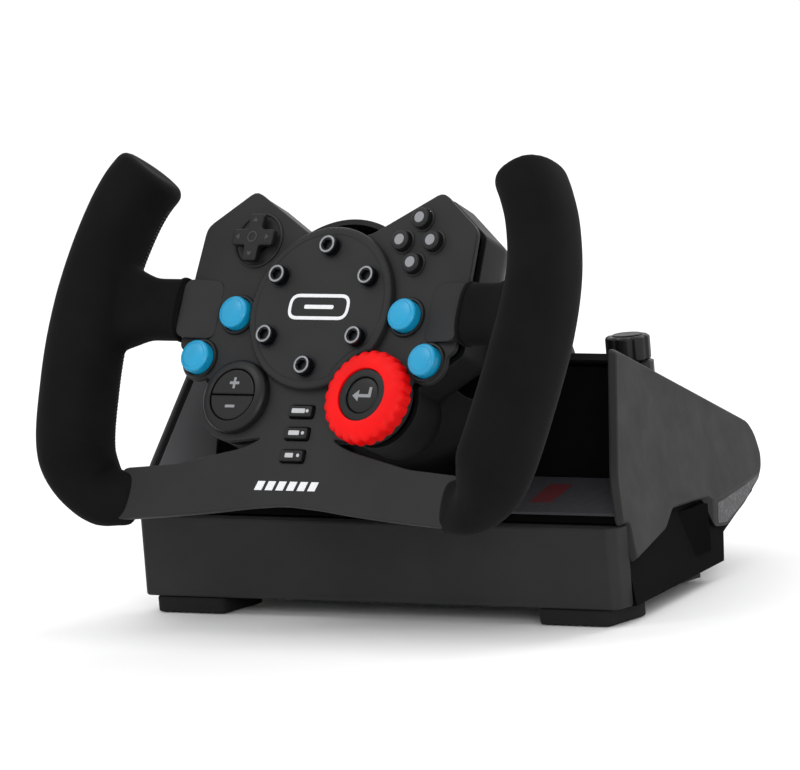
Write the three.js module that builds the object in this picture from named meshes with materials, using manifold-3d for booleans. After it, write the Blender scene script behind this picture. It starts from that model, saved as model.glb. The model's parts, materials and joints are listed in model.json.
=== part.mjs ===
// A racing wheel for computer games: an open-top rim with two wrapped grips and a button plate,
// on a desk-mount base that holds two drive motors, their gearbox and two screw clamps.
// Millimetres. +X is the driver's right, +Y points away from the driver, +Z is up.
// The origin lies on the desk, at the middle of the whole object's box.
import * as THREE from 'three';
import { mergeVertices } from 'three/addons/utils/BufferGeometryUtils.js';
import Module from 'manifold-3d';

const wasm = await Module();
wasm.setup();

// ---- Driving dimensions ----
const GAP = 0.3; // clearance between neighbouring pieces
const FINE = 28; // facets on a large round
const COARSE = 14; // facets on a small round

// Whole object
const APRON_TO_ORIGIN = 53.1; // how far the apron's front face stands in front of the origin
const COLUMN_LEAN = 28; // degrees by which the wheel plane leans back
const HUB_Y = -19.15; // hub centre, from the apron's front face
const HUB_Z = 143.07; // hub centre above the desk

// Rim
const GRIP_HALF_WIDTH = 16;
const GRIP_HALF_DEPTH = 19;
const HORN_TAPER = 1.6; // how much narrower each side of a grip is in its horn
const HORN_LEAN = 2; // how far the horn's top leans towards the driver
const GRIP_Z = 9; // grips stand forward of the face plate
const SPOKE_TOP = 13;
const SPOKE_BOTTOM = -16;
const SPINE_TOP = 10; // the metal spoke inside the wrapped one
const SPINE_BOTTOM = -12;
const SPINE_REACH = 110; // how far the spine's spokes reach into the grips
const WEB_END = [[100, -80], [100, -94]]; // where its lower web ends, inside the grips
const FACE_FRONT = 1;
const FACE_BACK = -2;
const FACE_END = 92; // outer ends of the face plate's lower web
const RIM_FRONT = FACE_BACK - GAP;
const RIM_BACK = -7;
const POD_DEPTH = 30;
const POD_WALL = 2.5;
const BOARD_THICKNESS = 1.6;
const POD_CROWN_RADIUS = 46; // the pod's round top between its wings

// Hub
const HUB_RADIUS = 38;
const HUB_OFFSET = -1; // hub centre below the steering axis
const HUB_FRONT = 5;
const BOLT_CIRCLE = 28;
const BOLT_COUNT = 6;
const BOLT_HEAD = 4.4;
const BOLT_SHANK = 2.5;

// Controls
const BLUE_PLACES = [[46, -4], [62, -24.7]];
const BLUE_RADIUS = 7.4;
const PAD_PLACE = [43.8, 31]; // the right one; the four-way pad mirrors it
const PAD_STEP = [8.3, 10.4];
const FACE_BUTTON_RADIUS = 4.6;
const DIAL_PLACE = [36.5, -42.5]; // the right one; the bezel mirrors it
const DIAL_RADIUS = 21.5;
const DIAL_FRONT = 10;
const ENTER_RADIUS = 8.4;
const BEZEL_RADIUS = 17;
const ROCKER_RADIUS = 11.8;
const MENU_HEIGHTS = [-48.4, -58.6, -69];
const MENU_HALF = [6.2, 2.6];

// Drive, measured back from the hub along the steering axis
const SHAFT_RADIUS = 9;
const BOSS_BACK = -54;
const SHAFT_END = -135;
const SHAFT_SLACK = 0.15; // keeps the turning shaft clear of the bearings' bores
const BEARING_RADIUS = 15;
const FRONT_PLATE = [-110, -105];
const GEAR_SPAN = [-124, -114];
const REAR_PLATE = [-130, -125];
const GEAR_MODULE = 1.25;
const GEAR_TEETH = 66;
const PINION_TEETH = 12;
const PINION_PITCHES_BELOW = 5; // pinions sit this many gear teeth below the gear's middle
const BACKLASH = 0.35;
const MOTOR_RADIUS = 17;
const MOTOR_SPAN = [-180, -130.5];
const MOTOR_SHAFT_RADIUS = 2.5;
const DRUM_RADIUS = 50;
const DRUM_WALL = 3;

// Base, measured from the apron's front face
const UNDERSIDE = 8; // height of the flat underside on its feet
const APRON_HALF = 130;
const APRON_TOP = 44;
const APRON_DEPTH = 12.5;
const PANEL_WALL = 4;
const PANEL_HALF = 140.5; // half width of the side panels' planes at the front of the desk plane
const PANEL_TAPER = 0.262; // inward per millimetre back
const PANEL_TUMBLE = 0.14; // inward per millimetre up
const SHELL_WALL = 3;
const NOSE = [36, 118]; // top front corner of a side panel, back and up
const TAIL = [176, 63]; // top rear corner
const TRAY_END = 174; // back of the bottom housing
const PORT_HALF = 36;
const PORT_SPAN = [162, 183];
const PORT_FLOOR = 32.5;
const PORT_TOP = 51.5;
const SOCKET_STEP = 22;
const CLAMP_X = 85;
const CLAMP_Y = 88;
const CLAMP_SCREW = 4;
const CLAMP_SLACK = 0.5;
const SCREW_END = 20;
const POST_HALF = 10; // half width of a clamp's post and jaw
const JAW_SPAN = [1.5, 5.7]; // jaw heights, closed
const NUT_SPAN = [60, 72];
const KNOB_RADIUS = 10;
const KNOB_BOTTOM = 104;
const KNOB_TOP = 116;

// ---- Materials ----
const paint = (color, roughness, metalness = 0) =>
  new THREE.MeshStandardMaterial({ color, roughness, metalness });
const suede = paint(0x1e1e20, 0.9);
const faceBlack = paint(0x242426, 0.6);
const podBlack = paint(0x101011, 0.55);
const apronGrey = paint(0x2b2b2d, 0.6);
const panelGrey = paint(0x434346, 0.65);
const steel = paint(0xb8bbc0, 0.3, 1);
const darkSteel = paint(0x3a3b3e, 0.4, 1);
const brass = paint(0xb08d4a, 0.35, 1);
const nylon = paint(0xd8d4c6, 0.6);
const buttonBlue = paint(0x1590d0, 0.3);
const dialRed = paint(0xe81414, 0.4);
const buttonBlack = paint(0x161617, 0.45);
const boardGreen = paint(0x14502c, 0.5);
const rubber = paint(0x0d0d0d, 0.95);

// ---- Solids ----
function toSolid(geometry) {
  const bare = geometry.clone();
  bare.deleteAttribute('normal');
  bare.deleteAttribute('uv');
  const merged = mergeVertices(bare, 1e-4);
  const corners = merged.index.array;
  const kept = [];
  for (let i = 0; i < corners.length; i += 3) {
    const [a, b, c] = [corners[i], corners[i + 1], corners[i + 2]];
    if (a !== b && b !== c && c !== a) kept.push(a, b, c);
  }
  return new wasm.Manifold(new wasm.Mesh({
    numProp: 3,
    vertProperties: new Float32Array(merged.attributes.position.array),
    triVerts: new Uint32Array(kept),
  }));
}

function toGeometry(solid) {
  const mesh = solid.getMesh();
  const geometry = new THREE.BufferGeometry();
  geometry.setAttribute('position', new THREE.BufferAttribute(mesh.vertProperties, mesh.numProp));
  geometry.setIndex(new THREE.BufferAttribute(mesh.triVerts, 1));
  return geometry;
}

const join = (...pieces) => toGeometry(pieces.map(toSolid).reduce((sum, piece) => sum.add(piece)));
const common = (one, two) => toGeometry(toSolid(one).intersect(toSolid(two)));

function cut(body, ...tools) {
  return toGeometry(tools.map(toSolid).reduce((left, tool) => left.subtract(tool), toSolid(body)));
}

function mirrorX(geometry) {
  const mirrored = toGeometry(toSolid(geometry));
  mirrored.scale(-1, 1, 1);
  const corners = mirrored.index.array;
  for (let i = 0; i < corners.length; i += 3) {
    [corners[i], corners[i + 1]] = [corners[i + 1], corners[i]];
  }
  return mirrored;
}

const outline = (points) => new THREE.Shape(points.map(([x, y]) => new THREE.Vector2(x, y)));

// An outline that is the same on both sides of X = 0, from the points of its right half.
function bothSides(rightHalf) {
  const leftHalf = rightHalf.filter(([x]) => x > 0).reverse().map(([x, y]) => [-x, y]);
  return outline([...rightHalf, ...leftHalf]);
}

// An outline stretched from one height to another, grown or shrunk by `offset` all round.
function slab(shape, low, high, offset = 0) {
  const settings = { depth: high - low, bevelEnabled: offset !== 0, curveSegments: 8 };
  if (offset !== 0) {
    Object.assign(settings, { bevelThickness: 0, bevelSize: 0, bevelOffset: offset, bevelSegments: 1 });
  }
  return new THREE.ExtrudeGeometry(shape, settings).translate(0, 0, low);
}

function block([x0, x1], [y0, y1], [z0, z1]) {
  const box = new THREE.BoxGeometry(x1 - x0, y1 - y0, z1 - z0);
  return box.translate((x0 + x1) / 2, (y0 + y1) / 2, (z0 + z1) / 2);
}

// A round bar along Z.
function bar(radius, low, high, sides = FINE) {
  const cylinder = new THREE.CylinderGeometry(radius, radius, high - low, sides);
  return cylinder.rotateX(Math.PI / 2).translate(0, 0, (low + high) / 2);
}

// A turned solid about Z, from a profile of [radius, height] that runs up its outside.
function turned(profile, sides = FINE) {
  const points = profile.map(([radius, height]) => new THREE.Vector2(radius, height));
  return new THREE.LatheGeometry(points, sides).rotateX(Math.PI / 2);
}

const ring = (outer, inner, low, high, sides = FINE) =>
  turned([[inner, low], [outer, low], [outer, high], [inner, high], [inner, low]], sides);

function arc([x, y], radius, fromDegrees, toDegrees, steps) {
  const points = [];
  for (let i = 0; i <= steps; i++) {
    const angle = THREE.MathUtils.degToRad(fromDegrees + ((toDegrees - fromDegrees) * i) / steps);
    points.push([x + radius * Math.cos(angle), y + radius * Math.sin(angle)]);
  }
  return points;
}

const boltPlaces = Array.from({ length: BOLT_COUNT }, (_, i) => {
  const angle = Math.PI / 2 + (i * 2 * Math.PI) / BOLT_COUNT;
  return [BOLT_CIRCLE * Math.cos(angle), HUB_OFFSET + BOLT_CIRCLE * Math.sin(angle)];
});
const boltHoles = (low, high) =>
  boltPlaces.map(([x, y]) => bar(BOLT_SHANK + GAP, low, high, COARSE).translate(x, y, 0));
const mirrorPlace = ([x, y]) => [-x, y];

// ---- Rim and button plate (wheel frame: X right, Y up in the wheel plane, Z to the driver) ----
const wingEdge = [[16, 34], [51, 54.5], [74, 37], [75, SPOKE_TOP]];
const lobeEdge = arc(DIAL_PLACE, 20, 25, -100, 8);
const webEdge = [[19, -60.5], [24, -63.5], [31, -66], [48, -70], [63.5, -73.6], [FACE_END, -76],
  [FACE_END, -100], [64, -98], [37, -95.3], [19, -93], [0, -91.5]];

function facePlate() {
  const plate = slab(bothSides([[0, 34], ...wingEdge, [75, SPOKE_BOTTOM - 3], ...lobeEdge, ...webEdge]),
    FACE_BACK, FACE_FRONT);
  const through = [FACE_BACK - 1, FACE_FRONT + 1];
  const hole = (radius, [x, y]) => bar(radius + GAP, ...through, COARSE).translate(x, y, 0);
  const holes = [bar(20, ...through).translate(0, HUB_OFFSET, 0), ...boltHoles(...through)];
  for (const place of BLUE_PLACES) {
    holes.push(hole(BLUE_RADIUS, place), hole(BLUE_RADIUS, mirrorPlace(place)));
  }
  for (const place of faceButtonPlaces()) holes.push(hole(FACE_BUTTON_RADIUS, place));
  holes.push(hole(6, mirrorPlace(PAD_PLACE)), hole(ENTER_RADIUS, DIAL_PLACE));
  holes.push(hole(ROCKER_RADIUS, mirrorPlace(DIAL_PLACE)));
  for (const height of MENU_HEIGHTS) {
    const [halfWidth, halfHeight] = MENU_HALF.map((half) => half + GAP);
    holes.push(block([-halfWidth, halfWidth], [height - halfHeight, height + halfHeight], through));
  }
  return cut(plate, ...holes);
}

// The metal spine: hub, two spokes, neck and lower web, which reach into the grips.
function rimPlate() {
  const edge = [[0, 33], [24, 24], [32, SPINE_TOP], [SPINE_REACH, SPINE_TOP], [SPINE_REACH, SPINE_BOTTOM],
    [40, SPINE_BOTTOM], [26, -28], [13, -38], [13, -62], [30, -69], [62, -77], ...WEB_END,
    [62, -94], [30, -91], [0, -89]];
  const plate = slab(bothSides(edge), RIM_BACK, RIM_FRONT);
  const through = [RIM_BACK - 1, RIM_FRONT + 1];
  return cut(plate, bar(12, ...through).translate(0, HUB_OFFSET, 0), ...boltHoles(...through));
}

// A closed tube that follows a flat curve, with rounded ends. `widthAt` and `depthAt` give its half
// sizes along the way, and `endLength` is how far each rounded end stands past the curve.
function wrappedTube(curve, widthAt, depthAt, endLength) {
  const steps = 16;
  const tube = new THREE.CapsuleGeometry(1, steps, 3, 18, steps);
  const spots = tube.attributes.position;
  const half = steps / 2;
  for (let i = 0; i < spots.count; i++) {
    const along = spots.getY(i);
    const t = THREE.MathUtils.clamp((along + half) / steps, 0, 1);
    const beyond = along - THREE.MathUtils.clamp(along, -half, half);
    const centre = curve.getPointAt(t);
    const tangent = curve.getTangentAt(t);
    const across = spots.getX(i) * widthAt(t);
    const forward = -spots.getZ(i) * depthAt(t);
    spots.setXYZ(i, centre.x + tangent.x * beyond * endLength - tangent.y * across,
      centre.y + tangent.y * beyond * endLength + tangent.x * across, centre.z + forward);
  }
  return tube;
}

// The grip's middle line, from its inner lower end to the top of its horn.
const gripSpots = [[90, -90.5, -1], [103, -88, 3], [113.5, -72, 8], [119.5, -40, GRIP_Z], [121.5, -8, GRIP_Z],
  [120, 16, GRIP_Z], [115, 36, GRIP_Z + HORN_LEAN / 2], [109.5, 48.5, GRIP_Z + HORN_LEAN],
  [103.6, 58, GRIP_Z + HORN_LEAN]];
const gripCurve = new THREE.CatmullRomCurve3(gripSpots.map((spot) => new THREE.Vector3(...spot)));

function grip() {
  const [endWidth, endDepth, endLength] = [11, 8, 4.5];
  const taper = (t) => THREE.MathUtils.smoothstep(t, 0, 0.16);
  const horn = (t) => HORN_TAPER * THREE.MathUtils.smoothstep(t, 0.5, 0.8);
  const wrap = wrappedTube(gripCurve, (t) => endWidth + (GRIP_HALF_WIDTH - endWidth) * taper(t) - horn(t),
    (t) => endDepth + (GRIP_HALF_DEPTH - endDepth) * taper(t), endLength);
  const stub = new THREE.CapsuleGeometry(1, 8, 3, 18, 1);
  stub.scale((SPOKE_TOP - SPOKE_BOTTOM) / 2, 4, 9).rotateZ(Math.PI / 2);
  stub.translate(97, (SPOKE_TOP + SPOKE_BOTTOM) / 2, FACE_FRONT);
  return cut(join(wrap, stub), ...gripRooms());
}

// The rooms that a grip leaves for the spine's spoke, its lower web and the face plate.
function gripRooms() {
  const inner = 60; // anywhere on the hub's side of the grip
  const reach = SPINE_REACH + GAP;
  const spoke = [[inner, SPINE_TOP + GAP], [reach, SPINE_TOP + GAP], [reach, SPINE_BOTTOM - GAP],
    [inner, SPINE_BOTTOM - GAP]];
  const [[webX, webTop], [, webBottom]] = WEB_END;
  const web = [[inner, webTop + 4], [webX + GAP, webTop + GAP], [webX + GAP, webBottom - GAP],
    [inner, webBottom - GAP]];
  const faceX = FACE_END + GAP;
  const face = [[inner, 20], [78, 20], [78, -60], [faceX, -66], [faceX, -104], [inner, -104]];
  const spine = [RIM_BACK - GAP, RIM_FRONT + GAP];
  return [slab(outline(spoke), ...spine), slab(outline(web), ...spine),
    slab(outline(face), FACE_BACK - GAP, FACE_FRONT + GAP)];
}

function podRear() {
  const crown = arc([0, HUB_OFFSET], POD_CROWN_RADIUS, 90, 59, 4);
  const wing = wingEdge.slice(1);
  const shape = bothSides([...crown, ...wing, [75, SPOKE_BOTTOM - 3], ...lobeEdge, [14, -56], [0, -56]]);
  const front = RIM_BACK - GAP;
  const shell = slab(shape, -POD_DEPTH, front, -0.5);
  const room = slab(shape, -POD_DEPTH + POD_WALL, front + 1, -0.5 - POD_WALL);
  return cut(shell, room, bar(23.5, -POD_DEPTH - 1, front));
}

function wheelBoard() {
  const shape = bothSides([[0, 28], [16, 28], [50, 46], [68, 32], [68, -12], [50, -34], [24, -50], [0, -50]]);
  const back = -12;
  const room = bar(24, back - 1, back + BOARD_THICKNESS + 1).translate(0, HUB_OFFSET, 0);
  return cut(slab(shape, back, back + BOARD_THICKNESS), room);
}

function hubDisc() {
  const edge = 1.2;
  const front = HUB_FRONT;
  const profile = [[0, FACE_FRONT + GAP], [HUB_RADIUS, FACE_FRONT + GAP], [HUB_RADIUS, front - edge],
    [HUB_RADIUS - edge, front], [0, front]];
  const disc = turned(profile, 36).translate(0, HUB_OFFSET, 0);
  const [x, y] = DIAL_PLACE;
  const dialRoom = bar(DIAL_RADIUS + 2 * GAP, FACE_FRONT, front + 1, 36).translate(x, y, 0);
  return cut(disc, dialRoom, ...boltHoles(FACE_FRONT - 1, front + 1));
}

function hubBolt() {
  const base = HUB_FRONT + GAP;
  const bolt = turned([[0, RIM_BACK + 0.5], [BOLT_SHANK, RIM_BACK + 0.5], [BOLT_SHANK, base],
    [BOLT_HEAD, base], [BOLT_HEAD, base + 3.6], [BOLT_HEAD - 0.5, base + 4.1], [0, base + 4.1]], COARSE);
  return cut(bolt, bar(2.4, base + 1.4, base + 5, 6));
}

// The shaft and, in one piece with it, the wide boss that carries the rim.
function steeringShaft() {
  return turned([[0, SHAFT_END], [SHAFT_RADIUS, SHAFT_END], [SHAFT_RADIUS, BOSS_BACK], [22, BOSS_BACK],
    [22, RIM_BACK - GAP], [0, RIM_BACK - GAP]]);
}

// ---- Controls ----
function faceButtonPlaces() {
  const [x, y] = PAD_PLACE;
  const [across, up] = PAD_STEP;
  return [[x, y + up], [x + across, y], [x, y - up], [x - across, y]];
}

const domed = (radius, low, high, sides) => turned([[0, low], [radius, low], [radius, high - 1.6],
  [radius * 0.82, high - 0.4], [0, high]], sides);
const blueButton = () => domed(BLUE_RADIUS, -0.2, 7.5, 20);
const faceButton = () => domed(FACE_BUTTON_RADIUS, -0.2, 5, COARSE);

function padCap() {
  const [long, short] = [11, 3.8];
  const cross = outline([[short, long], [-short, long], [-short, short], [-long, short], [-long, -short],
    [-short, -short], [-short, -long], [short, -long], [short, -short], [long, -short], [long, short],
    [short, short]]);
  return slab(cross, 2.6, 6.6);
}

const padPivot = () => bar(4.5, 0.4, 1.8, COARSE);

function selectorDial() {
  const lobes = 24;
  const depth = 0.8;
  const points = [];
  for (let i = 0; i < lobes * 2; i++) {
    const angle = (i * Math.PI) / lobes;
    const radius = DIAL_RADIUS - (i % 2) * depth;
    points.push([radius * Math.cos(angle), radius * Math.sin(angle)]);
  }
  const body = slab(outline(points), FACE_FRONT + GAP, DIAL_FRONT);
  const crown = turned([[0, 0], [DIAL_RADIUS + 1, 0], [DIAL_RADIUS + 1, DIAL_FRONT - 3.4],
    [DIAL_RADIUS - 2.8, DIAL_FRONT], [0, DIAL_FRONT]]);
  return cut(common(body, crown), bar(ENTER_RADIUS + GAP, 0, DIAL_FRONT + 1));
}

const enterButton = () => domed(ENTER_RADIUS, -0.2, 9.2, 20);
const bezel = () => turned([[ROCKER_RADIUS + GAP, 1.3], [BEZEL_RADIUS, 1.3], [BEZEL_RADIUS - 0.6, 5.4],
  [ROCKER_RADIUS + GAP, 6.2], [ROCKER_RADIUS + GAP, 1.3]]);

// The upper half of the round rocker; the lower half is the same piece turned over.
function rockerHalf() {
  const half = outline(arc([0, GAP], ROCKER_RADIUS - GAP, 0, 180, 10));
  return slab(half, -0.2, 6);
}

const menuButton = () => block([-MENU_HALF[0], MENU_HALF[0]], [-MENU_HALF[1], MENU_HALF[1]], [-0.2, 3]);

// A shift paddle, hinged at its inner edge and pulled by its outer end.
function paddle() {
  const back = -POD_DEPTH - 10;
  const blade = slab(outline([[30, -12], [60, -30], [88, -24], [92, 2], [84, 24], [58, 18], [30, 12]]),
    back, back + 3);
  const barrel = bar(4, -12, 12, COARSE).rotateX(Math.PI / 2).translate(29, 0, back + 3);
  return join(blade, barrel);
}

// ---- Gears, in the wheel frame ----
function gearOutline(teeth) {
  const pressure = THREE.MathUtils.degToRad(20);
  const pitch = (GEAR_MODULE * teeth) / 2;
  const base = pitch * Math.cos(pressure);
  const root = pitch - 1.25 * GEAR_MODULE;
  const tip = pitch + 0.95 * GEAR_MODULE;
  const involute = (angle) => Math.tan(angle) - angle;
  const halfAt = (radius) => Math.PI / (2 * teeth) - BACKLASH / (2 * pitch) + involute(pressure)
    - involute(Math.acos(Math.min(1, base / radius)));
  const radii = base > root ? [root, base, tip] : [root, tip];
  const points = [];
  for (let tooth = 0; tooth < teeth; tooth++) {
    const middle = (tooth * 2 * Math.PI) / teeth;
    const place = (radius, side) => {
      const angle = middle + side * halfAt(radius);
      points.push([radius * Math.cos(angle), radius * Math.sin(angle)]);
    };
    radii.forEach((radius) => place(radius, -1));
    [...radii].reverse().forEach((radius) => place(radius, 1));
  }
  return outline(points);
}

function mainGear() {
  const [low, high] = GEAR_SPAN;
  const hole = (radius, [x, y], sides) => bar(radius, low - 1, high + 1, sides).translate(x, y, 0);
  const lightening = arc([0, 0], 25, 0, 300, 5).map((place) => hole(7, place, COARSE));
  return cut(slab(gearOutline(GEAR_TEETH), low, high), hole(SHAFT_RADIUS + GAP, [0, 0]), ...lightening);
}

const pinionAngle = (PINION_PITCHES_BELOW * 2 * Math.PI) / GEAR_TEETH;
const centreDistance = (GEAR_MODULE * (GEAR_TEETH + PINION_TEETH)) / 2 + 0.05;
const PINION_PLACE = [centreDistance * Math.cos(pinionAngle), -centreDistance * Math.sin(pinionAngle)];

// The right pinion, with a tooth gap turned to the main gear; its shaft runs into the motor.
function pinion() {
  const [low, high] = GEAR_SPAN;
  const turn = Math.PI - pinionAngle + Math.PI / PINION_TEETH;
  const teeth = slab(gearOutline(PINION_TEETH), low + 0.5, high - 0.5).rotateZ(turn);
  return join(teeth, bar(MOTOR_SHAFT_RADIUS, MOTOR_SPAN[1] - 10, high + 1, COARSE));
}

function motor() {
  const [low, high] = MOTOR_SPAN;
  const edge = 1.5;
  const cap = 7;
  const can = turned([[0, low - 3], [cap, low - 3], [cap, low], [MOTOR_RADIUS - edge, low],
    [MOTOR_RADIUS, low + edge], [MOTOR_RADIUS, high - edge], [MOTOR_RADIUS - edge, high], [0, high]]);
  return cut(can, bar(MOTOR_SHAFT_RADIUS + 0.5, high - 11, high + 1, COARSE));
}

// Both plates of the gearbox: a round top about the shaft, and shoulders that carry the motors.
function gearboxPlate([low, high], shaftHole, pinionHole) {
  const edge = [[64, -8], [66, -32], [0, -32]];
  const plate = slab(bothSides([...arc([0, 0], 45.5, 90, 0, 9), ...edge]), low, high);
  const [x, y] = PINION_PLACE;
  const holes = [bar(shaftHole, low - 1, high + 1)];
  for (const side of [-1, 1]) {
    holes.push(bar(pinionHole, low - 1, high + 1, COARSE).translate(side * x, y, 0));
  }
  return cut(plate, ...holes);
}

const bearing = ([low, high]) => ring(BEARING_RADIUS, SHAFT_RADIUS + SHAFT_SLACK, low - 1, high + 1);

// ---- Base (base frame: X right, Y back from the apron's face, Z up) ----
const panelX = (y, z) => PANEL_HALF - PANEL_TAPER * y - PANEL_TUMBLE * z;

// Lays a side profile of [back, up] points across the base, out to the panels less `inset`.
function across(points, inset) {
  const bridge = new THREE.ExtrudeGeometry(outline(points), { depth: 2, bevelEnabled: false });
  const spots = bridge.attributes.position;
  for (let i = 0; i < spots.count; i++) {
    const [y, z, side] = [spots.getX(i), spots.getY(i), spots.getZ(i) - 1];
    spots.setXYZ(i, side * (panelX(y, z) - inset), y, z);
  }
  return bridge;
}

const panelInset = PANEL_WALL + GAP;
const trayFloor = UNDERSIDE + SHELL_WALL;
const coverSlope = (TAIL[1] - NOSE[1]) / (TAIL[0] - NOSE[0]);
const coverZ = (y) => NOSE[1] - 0.5 + coverSlope * (y - NOSE[0]);

function sidePanel() {
  const apronBack = APRON_DEPTH + GAP;
  const apronTop = APRON_TOP + GAP;
  const points = [[5, apronTop], [9, 65], NOSE, [42, 116.4], TAIL, [182, 56.5], [185, 46], [183, 36],
    [158, 28], [132, 22.5], [118, 24.5], [109, 38.5], [68, 41], [56, 34], [apronBack, 27],
    [apronBack, apronTop]];
  const panel = new THREE.ExtrudeGeometry(outline(points), { depth: PANEL_WALL, bevelEnabled: false });
  const spots = panel.attributes.position;
  for (let i = 0; i < spots.count; i++) {
    const [y, z, inward] = [spots.getX(i), spots.getY(i), PANEL_WALL - spots.getZ(i)];
    spots.setXYZ(i, panelX(y, z) - inward, y, z);
  }
  return panel;
}

function drumProfile(grow, front, back) {
  const radius = DRUM_RADIUS + grow;
  return turned([[0, -150 + back], [30 + grow, -150 + back], [radius, -130], [radius, -78],
    [34 + grow, -58 + front], [0, -58 + front]]);
}

// Turns a solid of the wheel frame into the base frame.
function tilted(geometry) {
  return geometry.rotateX(THREE.MathUtils.degToRad(90 - COLUMN_LEAN)).translate(0, HUB_Y, HUB_Z);
}

// A solid made about a clamp screw's axis, set at both clamps.
const atClamps = (geometry) => [-CLAMP_X, CLAMP_X].map((x) => geometry.clone().translate(x, CLAMP_Y, 0));

const fasciaLine = [[8, APRON_TOP + 1], [44, 58], [49, 107.5]];
const interior = [[46, 57], [51.6, 107.2], [52, coverZ(52) - SHELL_WALL],
  [TRAY_END, coverZ(TRAY_END) - SHELL_WALL], [TRAY_END, 12], [46, 12]];

// The hump over the steering column: what stands out of the base's own shells.
function columnHousing() {
  const shell = cut(drumProfile(0, 0, 0), drumProfile(-DRUM_WALL, -DRUM_WALL, DRUM_WALL), bar(17, -70, -50));
  return cut(tilted(shell), across(interior, 0));
}

function frontFascia() {
  const [[y0, z0], [y1, z1], [y2, z2]] = fasciaLine;
  const back = [[y2 + SHELL_WALL, z2], [y1 + SHELL_WALL, z1 - SHELL_WALL], [y0 + 6, z0 - 0.6]];
  const sheet = across([...fasciaLine, ...back], panelInset);
  return cut(sheet, tilted(drumProfile(GAP, GAP, -GAP)));
}

function topCover() {
  const front = NOSE[0] + 8;
  const back = TAIL[0] - 2;
  const sheet = across([[front, coverZ(front)], [back, coverZ(back)], [back, coverZ(back) - SHELL_WALL],
    [front, coverZ(front) - SHELL_WALL]].reverse(), panelInset);
  const bosses = atClamps(bar(KNOB_RADIUS + 1, coverZ(CLAMP_Y) - 2.5, KNOB_BOTTOM - 0.5, 24));
  const holes = atClamps(bar(CLAMP_SCREW + CLAMP_SLACK, 60, KNOB_TOP, COARSE));
  return cut(join(sheet, ...bosses), ...holes, tilted(drumProfile(GAP, GAP, -GAP)));
}

function rearCover() {
  const front = TRAY_END + GAP;
  const sheet = across([[front, 37], [182.5, 41], [181, 53], [front, 60.3], [front, 57], [177.5, 51],
    [179, 43.5], [front, 40.5]], panelInset);
  const half = PORT_HALF + GAP;
  return cut(sheet, block([-half, half], [170, 190], [30, PORT_TOP + 0.5]));
}

// The black tray under the panels, with the guide blocks that fill the panels' lower cut-outs.
function housingBottom() {
  const front = APRON_DEPTH + GAP;
  const back = TRAY_END - SHELL_WALL;
  const [heel, hock] = [[124, UNDERSIDE], [130, 20]]; // where the floor ends and where its slope starts
  const outer = [[front, UNDERSIDE], heel, hock, [TRAY_END, 31], [TRAY_END, 48], [60, 52], [46, 38],
    [front, 38]];
  const room = APRON_DEPTH + 4;
  const inner = [[room, trayFloor], [heel[0] - 2, trayFloor], [hock[0] - 2, hock[1] + 2.5], [back, 33],
    [back, 60], [room, 60]];
  const tray = cut(across(outer, panelInset), across(inner, panelInset + SHELL_WALL));
  const guides = [[-110, -99], [99, 110]].map((span) => block(span, [80, 104], [16, 37.5]));
  const slack = POST_HALF + 2 * GAP;
  const slots = atClamps(block([-slack, slack], [-25, -11], [0, SCREW_END]));
  const portHalf = PORT_HALF + GAP;
  const portWindow = block([-portHalf, portHalf], [165, 180], [PORT_FLOOR - GAP, 60]);
  return cut(join(tray, ...guides), ...slots, portWindow);
}

function apron() {
  const corner = 5;
  const round = arc([APRON_HALF - corner, corner], corner, -75, 0, 4);
  const plan = bothSides([[0, 0], [APRON_HALF - corner, 0], ...round, [APRON_HALF, APRON_DEPTH],
    [0, APRON_DEPTH]]);
  const room = block([-APRON_HALF + 4, APRON_HALF - 4], [SHELL_WALL, APRON_DEPTH + 1],
    [UNDERSIDE + SHELL_WALL, APRON_TOP - SHELL_WALL]);
  return cut(slab(plan, UNDERSIDE, APRON_TOP), room);
}

function portBlock() {
  const body = block([-PORT_HALF, PORT_HALF], PORT_SPAN, [PORT_FLOOR, PORT_TOP]);
  const wall = 4;
  const sockets = [-SOCKET_STEP, 0, SOCKET_STEP].map((x) =>
    block([x - 7, x + 7], [PORT_SPAN[0] + 10, PORT_SPAN[1] + 1], [PORT_FLOOR + wall, PORT_TOP - wall]));
  return cut(body, ...sockets);
}

const mainBoard = () => block([-52, 52], [58, 118], [trayFloor + GAP, trayFloor + GAP + BOARD_THICKNESS]);
const frontFoot = () => block([86, 124], [1.5, 32], [0, UNDERSIDE - GAP]);
const rearFoot = () => block([-60, 60], [94, 118], [0, UNDERSIDE - GAP]);

// The right clamp's knob and screw, about the screw's own axis.
function clampKnob() {
  const flutes = arc([0, 0], KNOB_RADIUS + 1.6, 0, 315, 7)
    .map(([x, y]) => bar(2.4, KNOB_BOTTOM - 1, KNOB_TOP + 1, 10).translate(x, y, 0));
  const edge = 1.5;
  const profile = [[0, SCREW_END], [CLAMP_SCREW, SCREW_END], [CLAMP_SCREW, KNOB_BOTTOM],
    [KNOB_RADIUS, KNOB_BOTTOM], [KNOB_RADIUS, KNOB_TOP - edge], [KNOB_RADIUS - edge, KNOB_TOP],
    [0, KNOB_TOP]];
  return cut(turned(profile, 24), ...flutes);
}

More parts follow.
